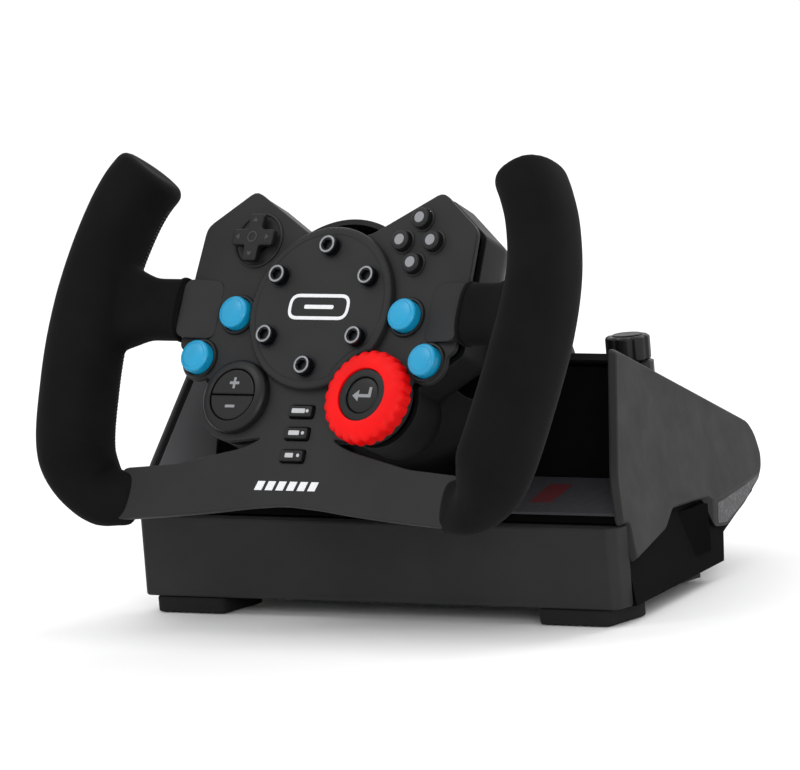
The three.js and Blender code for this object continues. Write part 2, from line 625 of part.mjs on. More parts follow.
// The nut, post and jaw that the screw raises and lowers, about the screw's own axis.
function clampCarriage() {
  const [jawLow, jawHigh] = JAW_SPAN;
  const [nutLow, nutHigh] = NUT_SPAN;
  const [postBack, postFront, jawTip] = [-12, -24, 28];
  const profile = [[postFront, jawLow], [jawTip, jawLow], [jawTip, jawHigh], [postBack, jawHigh],
    [postBack, nutLow], [12, nutLow], [12, nutHigh], [postFront, nutHigh]];
  const hook = slab(outline(profile), -POST_HALF, POST_HALF).rotateY(Math.PI / 2).rotateX(Math.PI / 2);
  return cut(hook, bar(CLAMP_SCREW + CLAMP_SLACK, nutLow - 1, nutHigh + 1, COARSE));
}

// ---- Assembly ----
function piece(name, geometry, material, [x, y, z] = [0, 0, 0]) {
  const mesh = new THREE.Mesh(geometry, material);
  mesh.name = name;
  mesh.position.set(x, y, z);
  return mesh;
}

function pair(name, geometry, material) {
  return [piece(`${name}_left`, mirrorX(geometry), material), piece(`${name}_right`, geometry, material)];
}

function wheelFrame() {
  const frame = new THREE.Group();
  frame.rotation.x = THREE.MathUtils.degToRad(90 - COLUMN_LEAN);
  frame.position.set(0, HUB_Y, HUB_Z);
  return frame;
}

function rimAssembly() {
  const rim = wheelFrame();
  rim.add(piece('rim_plate', rimPlate(), darkSteel), piece('face_plate', facePlate(), faceBlack));
  rim.add(...pair('grip', grip(), suede));
  rim.add(piece('pod_rear', podRear(), podBlack), piece('wheel_board', wheelBoard(), boardGreen));
  rim.add(piece('hub_disc', hubDisc(), faceBlack));
  boltPlaces.forEach(([x, y], i) => rim.add(piece(`hub_bolt_${i + 1}`, hubBolt(), steel, [x, y, 0])));
  rim.add(piece('plus_minus_bezel', bezel(), buttonBlack, [...mirrorPlace(DIAL_PLACE), 0]));
  return rim;
}

function controls() {
  const group = wheelFrame();
  const sides = [['left', mirrorPlace], ['right', (place) => place]];
  for (const [side, placed] of sides) {
    BLUE_PLACES.forEach((place, i) => {
      const name = `blue_button_${side}_${i === 0 ? 'upper' : 'lower'}`;
      group.add(piece(name, blueButton(), buttonBlue, [...placed(place), 0]));
    });
  }
  ['top', 'right', 'bottom', 'left'].forEach((side, i) =>
    group.add(piece(`face_button_${side}`, faceButton(), buttonBlack, [...faceButtonPlaces()[i], 0])));
  const padSpot = [...mirrorPlace(PAD_PLACE), 0];
  group.add(piece('pad_pivot', padPivot(), nylon, padSpot), piece('pad_cap', padCap(), buttonBlack, padSpot));
  const dialSpot = [...DIAL_PLACE, 0];
  group.add(piece('selector_dial', selectorDial(), dialRed, dialSpot));
  group.add(piece('enter_button', enterButton(), buttonBlack, dialSpot));
  const rockerSpot = [...mirrorPlace(DIAL_PLACE), 0];
  group.add(piece('plus_button', rockerHalf(), buttonBlack, rockerSpot));
  group.add(piece('minus_button', rockerHalf().rotateZ(Math.PI), buttonBlack, rockerSpot));
  MENU_HEIGHTS.forEach((height, i) =>
    group.add(piece(`menu_button_${i + 1}`, menuButton(), buttonBlack, [0, height, 0])));
  group.add(...pair('paddle', paddle(), darkSteel));
  return group;
}

function driveAssembly() {
  const drive = wheelFrame();
  drive.add(piece('steering_shaft', steeringShaft(), steel), piece('main_gear', mainGear(), nylon));
  drive.add(piece('gearbox_front_plate', gearboxPlate(FRONT_PLATE, BEARING_RADIUS + GAP, 4), darkSteel));
  drive.add(piece('gearbox_rear_plate', gearboxPlate(REAR_PLATE, BEARING_RADIUS + GAP, 4), darkSteel));
  drive.add(piece('front_bearing', bearing(FRONT_PLATE), steel));
  drive.add(piece('rear_bearing', bearing(REAR_PLATE), steel));
  const atPinion = (geometry) => geometry.translate(...PINION_PLACE, 0);
  drive.add(...pair('motor', atPinion(motor()), darkSteel));
  drive.add(...pair('motor_pinion', atPinion(pinion()), brass));
  return drive;
}

function baseAssembly() {
  const base = new THREE.Group();
  base.add(piece('housing_bottom', housingBottom(), podBlack), piece('apron', apron(), apronGrey));
  base.add(...pair('side_panel', sidePanel(), panelGrey));
  base.add(piece('top_cover', topCover(), podBlack), piece('front_fascia', frontFascia(), podBlack));
  base.add(piece('column_housing', columnHousing(), podBlack), piece('rear_cover', rearCover(), podBlack));
  base.add(piece('port_block', portBlock(), buttonBlack), piece('main_board', mainBoard(), boardGreen));
  base.add(...pair('front_foot', frontFoot(), rubber), piece('rear_foot', rearFoot(), rubber));
  for (const [side, x] of [['left', -CLAMP_X], ['right', CLAMP_X]]) {
    base.add(piece(`clamp_knob_${side}`, clampKnob(), buttonBlack, [x, CLAMP_Y, 0]));
    base.add(piece(`clamp_carriage_${side}`, clampCarriage(), darkSteel, [x, CLAMP_Y, 0]));
  }
  return base;
}

const racingWheel = new THREE.Group();
racingWheel.add(rimAssembly(), controls(), driveAssembly(), baseAssembly());
racingWheel.position.y = -APRON_TO_ORIGIN;

export default racingWheel;
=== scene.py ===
# Looks for the racing wheel: fine meshes, materials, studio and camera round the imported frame.
import json
import math

import bmesh
import bpy
from mathutils import Matrix, Vector


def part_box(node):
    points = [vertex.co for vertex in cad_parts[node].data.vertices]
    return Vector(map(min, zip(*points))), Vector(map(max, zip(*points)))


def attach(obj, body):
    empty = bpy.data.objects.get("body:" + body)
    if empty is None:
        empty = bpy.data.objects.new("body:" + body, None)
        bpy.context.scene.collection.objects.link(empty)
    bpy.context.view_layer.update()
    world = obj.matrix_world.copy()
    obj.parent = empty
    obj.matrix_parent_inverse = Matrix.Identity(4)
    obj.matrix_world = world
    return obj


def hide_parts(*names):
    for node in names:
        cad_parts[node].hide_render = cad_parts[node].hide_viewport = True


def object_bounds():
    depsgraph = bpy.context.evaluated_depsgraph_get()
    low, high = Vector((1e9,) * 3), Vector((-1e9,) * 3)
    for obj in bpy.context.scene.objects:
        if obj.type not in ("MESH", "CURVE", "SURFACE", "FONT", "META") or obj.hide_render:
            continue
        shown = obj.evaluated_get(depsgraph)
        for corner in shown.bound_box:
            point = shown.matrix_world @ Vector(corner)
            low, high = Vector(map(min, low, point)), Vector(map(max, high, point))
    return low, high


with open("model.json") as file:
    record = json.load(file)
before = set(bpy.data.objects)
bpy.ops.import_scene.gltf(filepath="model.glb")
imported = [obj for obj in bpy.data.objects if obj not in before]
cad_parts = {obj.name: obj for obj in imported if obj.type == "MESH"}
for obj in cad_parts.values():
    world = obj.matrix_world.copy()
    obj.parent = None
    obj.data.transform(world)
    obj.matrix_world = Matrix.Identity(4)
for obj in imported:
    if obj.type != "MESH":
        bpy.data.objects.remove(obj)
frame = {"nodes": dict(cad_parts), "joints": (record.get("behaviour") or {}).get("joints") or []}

cad_low, cad_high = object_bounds()

# ---- Frames and driving sizes, in millimetres ----
MM = 0.001
joints = {joint["name"]: joint for joint in frame["joints"]}
OUT = Vector(joints["steering"]["axis"]).normalized()  # from the hub towards the driver
ACROSS = Vector((1, 0, 0))
UP = OUT.cross(ACROSS)  # up in the wheel plane
HUB = Vector(joints["steering"]["pos_m"])
APRON_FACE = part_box("apron")[0].y

# The wheel frame: X right, Y up in the wheel plane, Z towards the driver, from the hub.
WHEEL = Matrix.Translation(HUB) @ Matrix((ACROSS, UP, OUT)).transposed().to_4x4() @ Matrix.Scale(MM, 4)
# The base frame: X right, Y back from the apron's front face, Z up from the desk.
BASE = Matrix.Translation((0, APRON_FACE, 0)) @ Matrix.Scale(MM, 4)

HUB_DROP = -1
HUB_RADIUS = 38
HUB_FRONT = 5
FACE_BACK = -2
FACE_FRONT = 1
BOLT_CIRCLE = 28
GRIP_HALF_WIDTH = 16
GRIP_HALF_DEPTH = 19
GRIP_Z = 9
HORN_TAPER = 1.6
HORN_LEAN = 2
ENTER_RADIUS = 8.4
SPOKE_TOP = 13
SPOKE_BOTTOM = -16
POD_BACK = -30
BLUE_PLACES = [(46, -4), (62, -24.7)]
PAD_PLACE = (43.8, 31)
PAD_STEP = (8.3, 10.4)
DIAL_PLACE = (36.5, -42.5)
DIAL_RADIUS = 21.5
MENU_HEIGHTS = [-48.4, -58.6, -69]
MENU_HALF = (6.1, 2.5)
BLUE_RADIUS = 7.4
BUTTON_RADIUS = 4.6
ROCKER_RADIUS = 11.4
LOBE_RADIUS = 20
EAR_RADIUS = 9.9
POD_SIDE = 75
STUB_START = 76.5
STUB_DEEP = FACE_FRONT - 1.5  # the height of the wrapped spoke's middle
STUB_POWER = 2.8
WRAP_SEAM = 212
GRIP_LINE = [(88, -89, -3), (102, -88, 1), (114, -72.5, 7.5), (119.5, -40, GRIP_Z), (121.5, -8, GRIP_Z),
             (120, 16, GRIP_Z), (115, 36, GRIP_Z + HORN_LEAN / 2), (109.5, 48.5, GRIP_Z + HORN_LEAN),
             (104.6, 56.1, GRIP_Z + HORN_LEAN)]
WING = [(16, 34), (51, 54.5), (74, 37), (POD_SIDE, SPOKE_TOP)]
WEB = [(19, -60.5), (24, -63.5), (31, -66), (48, -70), (63.5, -73.6), (92, -76),
       (92, -100), (64, -98), (37, -95.3), (19, -93), (0, -91.5)]

# The base, as (back, up) points from the apron's front face and the desk
APRON_HALF = 130
APRON_DEPTH = 12.5
APRON_TOP = 44
UNDERSIDE = 8
PANEL_WALL = 4
PANEL_INSET = 4.3
NOSE = (36, 118)
TAIL = (176, 63)
LEDGE = [(8, 45), (44, 58)]
COVER_SLOPE = (TAIL[1] - NOSE[1]) / (TAIL[0] - NOSE[0])
COVER_TILT = math.atan(COVER_SLOPE)
COLUMN_TOP = -58
COLUMN_BOTTOM = -150
COLUMN_RADIUS = 50
CLAMP = (85, 88)
KNOB_RADIUS = 10
KNOB_BOTTOM = 104
KNOB_TOP = 116
SOCKET_FACE = 183
SOCKET_HEIGHT = 42

SIDES = {"left": -1, "right": 1}
PRINT_EDGE = 0.08  # the rounding of printed marks
SHARP_ANGLE = 40  # degrees; steeper edges stay sharp in the shading
WELD_REACH = 0.00001  # metres
FLAT_ANGLE = math.radians(1)
BEVEL_ANGLE = math.radians(32)

# The studio and the camera, in metres
FLOOR_HALF = 3.0
SKY_STRENGTH = 1.06
LAMPS = [("key", (-0.5, -0.9, 1.5), 0.7, 5), ("side", (1.3, -1.3, 0.45), 0.5, 8),
         ("back", (0.5, 1.4, 1.2), 0.7, 9)]  # name, place from the middle, size, watts
VIEW_FROM = (0.5876, -0.7972, 0.1385)
VIEW_UP = (0, 0.139, 0.990)
VIEW_SHIFT = (0.0125, 0.008)
VIEW_DISTANCE = 5.0
SENSOR_WIDTH = 36  # millimetres, like the lens
LENS_LENGTH = 505


# ---- Outlines ----
def fluted(reach, count):
    """A closed outline round the origin; `reach` gives its radius at an angle."""
    steps = [2 * math.pi * i / count for i in range(count)]
    return [(reach(a) * math.cos(a), reach(a) * math.sin(a)) for a in steps]


def circle(centre, radius, count=64):
    return [(centre[0] + x, centre[1] + y) for x, y in fluted(lambda _: radius, count)]


def arc(centre, radius, start, end, count):
    steps = [math.radians(start + (end - start) * i / count) for i in range(count + 1)]
    return [(centre[0] + radius * math.cos(a), centre[1] + radius * math.sin(a)) for a in steps]


def rectangle(centre, half_width, half_height):
    x, y = centre
    return [(x - half_width, y - half_height), (x + half_width, y - half_height),
            (x + half_width, y + half_height), (x - half_width, y + half_height)]


def rounded_box(centre, half_width, half_height, corner, steps):
    return soften(rectangle(centre, half_width, half_height), corner, steps)


def both_sides(right_half):
    """A whole outline from the points of its right half, listed from the top down."""
    left_half = [(-x, y) for x, y in reversed(right_half) if x > 0]
    return list(reversed(right_half + left_half))


def soften(points, radius, steps=4, closed=True):
    """Rounds the corners of an outline."""
    count = len(points)
    rounded = []
    for i, corner in enumerate(points):
        if not closed and i in (0, count - 1):
            rounded.append(tuple(corner))
            continue
        b = Vector(corner)
        before = Vector(points[i - 1]) - b
        after = Vector(points[(i + 1) % count]) - b
        reach = min(radius, 0.45 * before.length, 0.45 * after.length)
        start, end = b + before.normalized() * reach, b + after.normalized() * reach
        for k in range(steps + 1):
            t = k / steps
            rounded.append(tuple(start * (1 - t) ** 2 + b * 2 * t * (1 - t) + end * t * t))
    return rounded


def inset(points, distance):
    """Moves a counter-clockwise outline inwards."""
    moved = []
    for i, point in enumerate(points):
        b = Vector(point)
        along = (b - Vector(points[i - 1])).normalized()
        ahead = (Vector(points[(i + 1) % len(points)]) - b).normalized()
        one, two = Vector((-along.y, along.x)), Vector((-ahead.y, ahead.x))
        moved.append(b + (one + two) * (distance / max(0.3, 1 + one.dot(two))))
    return moved


def mirror_place(place):
    return (-place[0], place[1])


def button_places():
    """The middles of the four face buttons, clockwise from the top."""
    (x, y), (step_x, step_y) = PAD_PLACE, PAD_STEP
    return [(x, y + step_y), (x + step_x, y), (x, y - step_y), (x - step_x, y)]


LOBE = list(reversed(arc(DIAL_PLACE, LOBE_RADIUS, -100, 25, 20)))
BUTTON_EAR = list(reversed(arc(BLUE_PLACES[1], EAR_RADIUS, -125, 18, 16)))
BUTTON_PLACES = button_places()
BOLT_PLACES = arc((0, HUB_DROP), BOLT_CIRCLE, 90, 390, 5)


# ---- Solids ----
def wall(shape, one, two):
    """Faces between two rings of vertices."""
    for i in range(len(one)):
        shape.faces.new((one[i - 1], one[i], two[i], two[i - 1]))


def ring_edges(shape, ring):
    return [shape.edges.get((ring[i - 1], ring[i])) for i in range(len(ring))]


def edge_profile(low, high, rounding, steps=3):
    """The [inset, height] steps of a slab's side, with rounded upper and lower edges."""
    turn = [math.pi / 2 * k / steps for k in range(steps + 1)]
    lower = [(rounding * (1 - math.sin(a)), low + rounding * (1 - math.cos(a))) for a in turn]
    upper = [(inner, low + high - height) for inner, height in reversed(lower)]
    return lower + upper


def loft(rings, hole_rings=()):
    """A closed solid through rings of points, flat at both ends, with holes made the same way."""
    shape = bmesh.new()
    caps = ([], [])
    for side in [rings] + list(hole_rings):
        loops = [[shape.verts.new(point) for point in ring] for ring in side]
        for lower, upper in zip(loops, loops[1:]):
            wall(shape, lower, upper)
        for cap, ring in zip(caps, (loops[0], loops[-1])):
            cap += ring_edges(shape, ring)
    for cap in caps:
        bmesh.ops.triangle_fill(shape, use_beauty=True, edges=cap)
    bmesh.ops.recalc_face_normals(shape, faces=shape.faces)
    return shape


def stack(outline, profile, holes=(), corner=0):
    """An outline raised through [inset, height] steps, its corners rounded, with holes of the same kind."""
    def rings(points, steps, side, rounding):
        grown = [(inset(points, side * inner), height) for inner, height in steps]
        if rounding:
            grown = [(soften(ring, rounding, 4), height) for ring, height in grown]
        return [[(p[0], p[1], height) for p in ring] for ring, height in grown]
    return loft(rings(outline, profile, 1, corner), [rings(hole, steps, -1, 0) for hole, steps in holes])


def slab(outline, low, high, rounding=0.6, holes=(), steps=3):
    """A flat piece with rounded edges and round-edged holes."""
    profile = edge_profile(low, high, rounding, steps)
    return stack(outline, profile, [(hole, profile) for hole in holes])


def turned(profile, centre=(0, 0), count=64):
    """A solid of revolution about Z from [radius, height] steps, closed on the axis or on itself."""
    shape = bmesh.new()
    rings = []
    for radius, height in profile:
        if radius < 1e-6:
            rings.append([shape.verts.new((centre[0], centre[1], height))])
        else:
            rings.append([shape.verts.new((x, y, height)) for x, y in circle(centre, radius, count)])
    if profile[0] == profile[-1]:
        for vert in rings.pop():
            shape.verts.remove(vert)
        rings.append(rings[0])
    for one, two in zip(rings, rings[1:]):
        for i in range(count):
            corners = [one[i - 1], one[i], two[i], two[i - 1]] if min(len(one), len(two)) > 1 else (
                [one[0], two[i], two[i - 1]] if len(one) == 1 else [one[i - 1], one[i], two[0]])
            shape.faces.new(corners)
    bmesh.ops.recalc_face_normals(shape, faces=shape.faces)
    return shape


def merged(*shapes):
    """Several solids in one mesh."""
    whole = bmesh.new()
    for shape in shapes:
        part = bpy.data.meshes.new("part")
        shape.to_mesh(part)
        shape.free()
        whole.from_mesh(part)
        bpy.data.meshes.remove(part)
    return whole


def moved(shape, matrix):
    bmesh.ops.transform(shape, matrix=matrix, verts=shape.verts)
    if matrix.to_3x3().determinant() < 0:
        bmesh.ops.reverse_faces(shape, faces=shape.faces)
    return shape


def shifted(shape, x=0.0, y=0.0, z=0.0):
    return moved(shape, Matrix.Translation((x, y, z)))


def mirrored(shape, sign):
    """Reflects a solid to the left side if the sign is -1."""
    return moved(shape, Matrix.Scale(sign, 4, ACROSS))


def tilted(shape, place, angle):
    """Turns a solid about X, then moves it to a place."""
    return moved(shape, Matrix.Translation(place) @ Matrix.Rotation(angle, 4, "X"))


def new_object(name, shape):
    mesh = bpy.data.meshes.new(name)
    shape.to_mesh(mesh)
    shape.free()
    piece = bpy.data.objects.new(name, mesh)
    bpy.context.collection.objects.link(piece)
    return piece


def add(name, shape, place, finish, body, replaces=(), sharp=SHARP_ANGLE):
    """Makes a piece from a solid in millimetres, puts it in place and lets it ride on a body."""
    piece = new_object(name, moved(shape, place))
    piece.data.materials.append(finish)
    piece.data.shade_smooth()
    piece.data.set_sharp_from_angle(angle=math.radians(sharp))
    weighted = piece.modifiers.new("flat faces stay flat", "WEIGHTED_NORMAL")
    weighted.keep_sharp = True
    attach(piece, body)
    if replaces:
        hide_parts(*replaces)
    return piece


def on_wheel(name, shape, finish, replaces=(), body="wheel"):
    return add(name, shape, WHEEL, finish, body, replaces)


def on_base(name, shape, finish, replaces=(), body="base", sharp=SHARP_ANGLE):
    return add(name, shape, BASE, finish, body, replaces, sharp)


# ---- Materials ----
def srgb(red, green, blue):
    def linear(value):
        value /= 255
        return value / 12.92 if value <= 0.04045 else ((value + 0.055) / 1.055) ** 2.4
    return (linear(red), linear(green), linear(blue), 1.0)


def set_inputs(node, values):
    for name, value in values.items():
        node.inputs[name.replace("_", " ")].default_value = value


class Finish:
    """A node material that starts as a principled shader over object coordinates in metres."""

    def __init__(self, name, color, roughness, metallic=0.0):
        self.material = bpy.data.materials.new(name)
        self.material.use_nodes = True
        self.tree = self.material.node_tree
        self.shader = self.tree.nodes["Principled BSDF"]
        self.layer(Base_Color=color, Roughness=roughness, Metallic=metallic)
        self.material.diffuse_color = color
        self.color = color
        self.roughness = roughness
        self.place = self.node("TexCoord").outputs["Object"]
        self.bump_normal = None

    def node(self, kind, **values):
        made = self.tree.nodes.new("ShaderNode" + kind)
        set_inputs(made, values)
        return made

    def layer(self, **values):
        set_inputs(self.shader, values)

    def link(self, output, target):
        self.tree.links.new(output, target)

    def noise(self, scale, detail=3.0, stretch=None):
        node = self.node("TexNoise", Scale=scale, Detail=detail)
        source = self.place
        if stretch:
            mapping = self.node("Mapping", Scale=stretch)
            self.link(self.place, mapping.inputs["Vector"])
            source = mapping.outputs["Vector"]
        self.link(source, node.inputs["Vector"])
        return node.outputs["Fac"]

    def cells(self, scale):
        node = self.node("TexVoronoi", Scale=scale)
        self.link(self.place, node.inputs["Vector"])
        return node.outputs["Distance"]

    def spread(self, output, low, high):
        """Maps a 0.3 to 0.7 signal to the range low to high."""
        node = self.node("MapRange", From_Min=0.3, From_Max=0.7, To_Min=low, To_Max=high)
        self.link(output, node.inputs["Value"])
        return node.outputs["Result"]

    def vary_color(self, output, dark, light):
        """Lets the colour drift between two strengths of itself."""
        strength = self.spread(output, dark, light)
        node = self.node("VectorMath")
        node.operation = "SCALE"
        node.inputs[0].default_value = self.color[:3]
        self.link(strength, node.inputs["Scale"])
        self.link(node.outputs["Vector"], self.shader.inputs["Base Color"])

    def vary_roughness(self, output, less, more):
        self.link(self.spread(output, self.roughness - less, self.roughness + more),
                  self.shader.inputs["Roughness"])

    def bump(self, output, depth, strength=0.5):
        """Adds relief of `depth` metres."""
        node = self.node("Bump", Distance=depth, Strength=strength)
        self.link(output, node.inputs["Height"])
        if self.bump_normal is not None:
            self.link(self.bump_normal, node.inputs["Normal"])
        self.bump_normal = node.outputs["Normal"]
        self.link(self.bump_normal, self.shader.inputs["Normal"])


def moulded(name, color, roughness, grain=1400, depth=0.00006, drift=0.12, shine=0.3):
    """Textured moulded plastic: fine spark grain, slight drift of colour and polish."""
    finish = Finish(name, color, roughness)
    finish.layer(Specular_IOR_Level=shine)
    finish.vary_color(finish.noise(18, 4), 1 - drift, 1 + drift)
    finish.vary_roughness(finish.noise(60, 3), 0.05, 0.06)
    finish.bump(finish.cells(grain), depth, 0.35)
    finish.bump(finish.noise(grain * 1.7, 2), depth * 0.5, 0.3)
    return finish.material


def painted_shade_black(name, color):
    """Near-black plastic that gives back almost nothing: painted shade for the walls of a deep recess, darker
    than the plastic itself.
    """
    finish = Finish(name, color, 0.75)
    finish.vary_color(finish.noise(25, 4), 0.8, 1.4)
    finish.bump(finish.cells(1400), 0.00006, 0.3)
    finish.layer(IOR=1.12, Specular_IOR_Level=0.3)
    return finish.material


def perforated(name, color):
    """A moulded grain of fine dark pits over the colour given; on the heel strip that colour is pale, and the
    paleness is painted light.
    """
    finish = Finish(name, color, 0.7)
    pits = finish.cells(620)
    finish.vary_color(finish.spread(pits, 0.1, 0.4), 0.35, 1.1)
    finish.bump(pits, 0.00015, 0.4)
    finish.layer(Specular_IOR_Level=0.2)
    return finish.material


def napped(name, color):
    """Suede-like wrap: soft nap with brushed patches and a pale sheen at grazing angles."""
    finish = Finish(name, color, 0.88)
    patches = finish.noise(45, 5)
    finish.vary_color(patches, 0.78, 1.3)
    finish.vary_roughness(patches, 0.06, 0.06)
    finish.bump(finish.noise(900, 4), 0.00022, 0.45)
    finish.bump(finish.noise(3200, 2), 0.0001, 0.5)
    finish.layer(Specular_IOR_Level=0.06, Sheen_Weight=0.02, Sheen_Roughness=0.4)
    return finish.material


def glossy(name, color, roughness=0.22, coat=0.6, shine=0.35):
    """Smooth injection-moulded plastic with a clear, slightly wavy surface."""
    finish = Finish(name, color, roughness)
    finish.vary_color(finish.noise(70, 2), 0.94, 1.06)
    finish.vary_roughness(finish.noise(220, 3), 0.04, 0.08)
    finish.bump(finish.noise(160, 2), 0.00004, 0.25)
    finish.layer(Specular_IOR_Level=shine, Coat_Weight=coat, Coat_Roughness=0.12)
    return finish.material


def metal(name, color, roughness, stretch=(1, 1, 1), scale=900):
    """Machined or brushed metal: fine lines along one way and small changes of polish."""
    finish = Finish(name, color, roughness, 1.0)
    lines = finish.noise(scale, 3, stretch)
    finish.vary_color(lines, 0.9, 1.08)
    finish.vary_roughness(lines, 0.08, 0.1)
    finish.bump(lines, 0.000006, 0.15)
    return finish.material


def soft_rubber(name, color, roughness=0.8):
    finish = Finish(name, color, roughness)
    finish.vary_color(finish.noise(30, 4), 0.85, 1.15)
    finish.bump(finish.noise(700, 3), 0.0001, 0.4)
    finish.layer(Specular_IOR_Level=0.2)
    return finish.material


def printed(name, color):
    """Pad-printed marks: flat ink with a little speckle."""
    finish = Finish(name, color, 0.5)
    finish.vary_color(finish.noise(1500, 3), 0.92, 1.05)
    return finish.material


def circuit(name, color):
    """Solder mask over copper tracks."""
    finish = Finish(name, color, 0.35)
    finish.vary_color(finish.cells(320), 0.7, 1.5)
    finish.bump(finish.cells(320), 0.00005, 0.4)
    finish.layer(Coat_Weight=0.5, Coat_Roughness=0.2)
    return finish.material


suede = napped("grip suede", srgb(15, 15, 16))
stitch_thread = soft_rubber("stitch thread", srgb(40, 40, 42), 0.7)
face_finish = moulded("face plastic", srgb(32, 32, 33), 0.52, grain=1800, depth=0.00004, shine=0.2)
pod_finish = moulded("pod plastic", srgb(18, 18, 19), 0.5, shine=0.2)
apron_finish = moulded("apron plastic", srgb(39, 39, 40), 0.6, shine=0.12)
panel_finish = moulded("panel plastic", srgb(29, 29, 30), 0.62, grain=1100, depth=0.00009, drift=0.04,
                       shine=0.2)
# painted shade: near black for the fascia, the housing bottom and the screw slots, where shade falls in the
# recesses
recess_painted_shade = painted_shade_black("recess painted shade", srgb(6, 6, 7))
ledge_finish = glossy("ledge plastic", srgb(48, 48, 52), 0.45, 0.05)
button_finish = moulded("button plastic", srgb(19, 19, 20), 0.42, grain=2400, depth=0.00003, shine=0.25)
blue_finish = glossy("blue button plastic", srgb(12, 138, 180), 0.3, 0.12)
red_finish = glossy("red dial plastic", srgb(216, 3, 5), 0.5, 0.0, 0.15)
bright_steel = metal("bright steel", srgb(176, 177, 180), 0.3)
satin_steel = metal("satin steel", srgb(140, 141, 144), 0.38)
# grain with painted light: the pale grey stands in for light from below on the panels' lower rear facet
heel_grain_painted_light = perforated("heel grain with painted light", srgb(124, 124, 126))
# painted light: a pale grey for the sheets on the panels' inner faces, paler than the panels' own plastic
painted_light_lining_finish = moulded("painted light lining", srgb(108, 108, 110), 0.65, shine=0.1)
# black plastic darkened further as painted shade: darker than the pod's plastic, as in the wheel's shade
column_painted_shade = moulded("column plastic with painted shade", srgb(10, 10, 11), 0.5, shine=0.15)
dark_metal = metal("dark anodised metal", srgb(44, 45, 48), 0.42, (1, 1, 14), 700)
brass_finish = metal("pinion brass", srgb(196, 158, 84), 0.3)
nylon_finish = moulded("gear nylon", srgb(216, 210, 194), 0.5, grain=900, depth=0.00003, drift=0.05)
rubber_finish = soft_rubber("foot rubber", srgb(20, 20, 21))
board_finish = circuit("solder mask", srgb(13, 24, 19))
white_ink = printed("white ink", srgb(214, 215, 218))
grey_ink = printed("grey ink", srgb(172, 173, 176))
silver_ink = printed("silver ink", srgb(124, 125, 129))
red_ink = printed("red ink", srgb(74, 8, 16))


# ---- Pieces of the wheel ----
def bitten_circle(centre, radius, bite_centre, bite_radius):
    """A circle's outline with a round bite taken out of it."""
    across_gap = Vector(bite_centre) - Vector(centre)
    distance = across_gap.length
    heading = math.degrees(math.atan2(across_gap.y, across_gap.x))

    def half_angle(own, other):
        return math.degrees(math.acos((distance ** 2 + own ** 2 - other ** 2) / (2 * distance * own)))
    near, far = half_angle(radius, bite_radius), half_angle(bite_radius, radius)
    rim = arc(centre, radius, heading + near, heading + 360 - near, 72)
    bite = list(reversed(arc(bite_centre, bite_radius, heading + 180 - far, heading + 180 + far, 16)))
    return rim + bite[1:-1]


def face_cover():
    right_half = [(0, 34)] + WING + [(POD_SIDE, SPOKE_BOTTOM - 3)] + BUTTON_EAR + LOBE + WEB
    outline = soften(both_sides(right_half), 3.5, 3)
    holes = [circle((0, HUB_DROP), 20)]
    for place in BLUE_PLACES:
        holes += [circle(spot, BLUE_RADIUS + 0.5, 40) for spot in (place, mirror_place(place))]
    holes += [circle(place, BUTTON_RADIUS + 0.3, 32) for place in BUTTON_PLACES]
    holes += [circle(mirror_place(PAD_PLACE), 6, 32), circle(DIAL_PLACE, ENTER_RADIUS + 0.6, 40)]
    holes.append(circle(mirror_place(DIAL_PLACE), ROCKER_RADIUS + 0.7, 48))
    slot = [half + 0.5 for half in MENU_HALF]
    holes += [rounded_box((0, height), *slot, corner=1.2, steps=3) for height in MENU_HEIGHTS]
    shape = slab(outline, FACE_BACK, FACE_FRONT, 0.7, holes)
    on_wheel("face_cover", shape, face_finish, ["face_plate"])


def spoke_shoulders():
    """The face rises in a ramp on each side to meet the wrapped spokes."""
    start, end, rise = 57, STUB_START, 3.6
    for side, sign in SIDES.items():
        outline = rounded_box(((start + end) / 2, -2), (end - start) / 2, 13.6, corner=5, steps=5)
        shape = slab(outline, 0.2, 1.25, 0.5)
        for vert in shape.verts:
            if vert.co.z > 0.8:
                vert.co.z += rise * max(0, vert.co.x - start) / (end - start)
        mirrored(shape, sign)
        on_wheel(f"spoke_shoulder_{side}", shape, face_finish)


def spline(points, steps):
    """Evenly spaced points on a smooth curve through the given ones, with their directions."""
    spots = [Vector(point) for point in points]
    spots = [2 * spots[0] - spots[1]] + spots + [2 * spots[-1] - spots[-2]]
    dense = []
    for a, b, c, d in zip(spots, spots[1:], spots[2:], spots[3:]):
        for k in range(24):
            t = k / 24
            dense.append(0.5 * (2 * b + (c - a) * t + (2 * a - 5 * b + 4 * c - d) * t ** 2
                                + (3 * b - a - 3 * c + d) * t ** 3))
    dense.append(spots[-2])
    lengths = [0.0]
    for one, two in zip(dense, dense[1:]):
        lengths.append(lengths[-1] + (two - one).length)
    result, j = [], 0
    for i in range(steps + 1):
        goal = lengths[-1] * i / steps
        while j < len(dense) - 2 and lengths[j + 1] < goal:
            j += 1
        share = (goal - lengths[j]) / max(1e-9, lengths[j + 1] - lengths[j])
        result.append((dense[j].lerp(dense[j + 1], share), (dense[j + 1] - dense[j]).normalized()))
    return result


def smooth_step(t):
    t = min(1, max(0, t))
    return t * t * (3 - 2 * t)


def grip_size(t):
    """Half width and half depth of the right grip, a share t of the way up."""
    thin_end, full = (12.7, 6.4), (GRIP_HALF_WIDTH - 0.2, GRIP_HALF_DEPTH - 0.4)
    grow = smooth_step(t / 0.2)
    horn = HORN_TAPER * smooth_step((t - 0.5) / 0.3)
    return thin_end[0] + (full[0] - thin_end[0]) * grow - horn, thin_end[1] + (full[1] - thin_end[1]) * grow


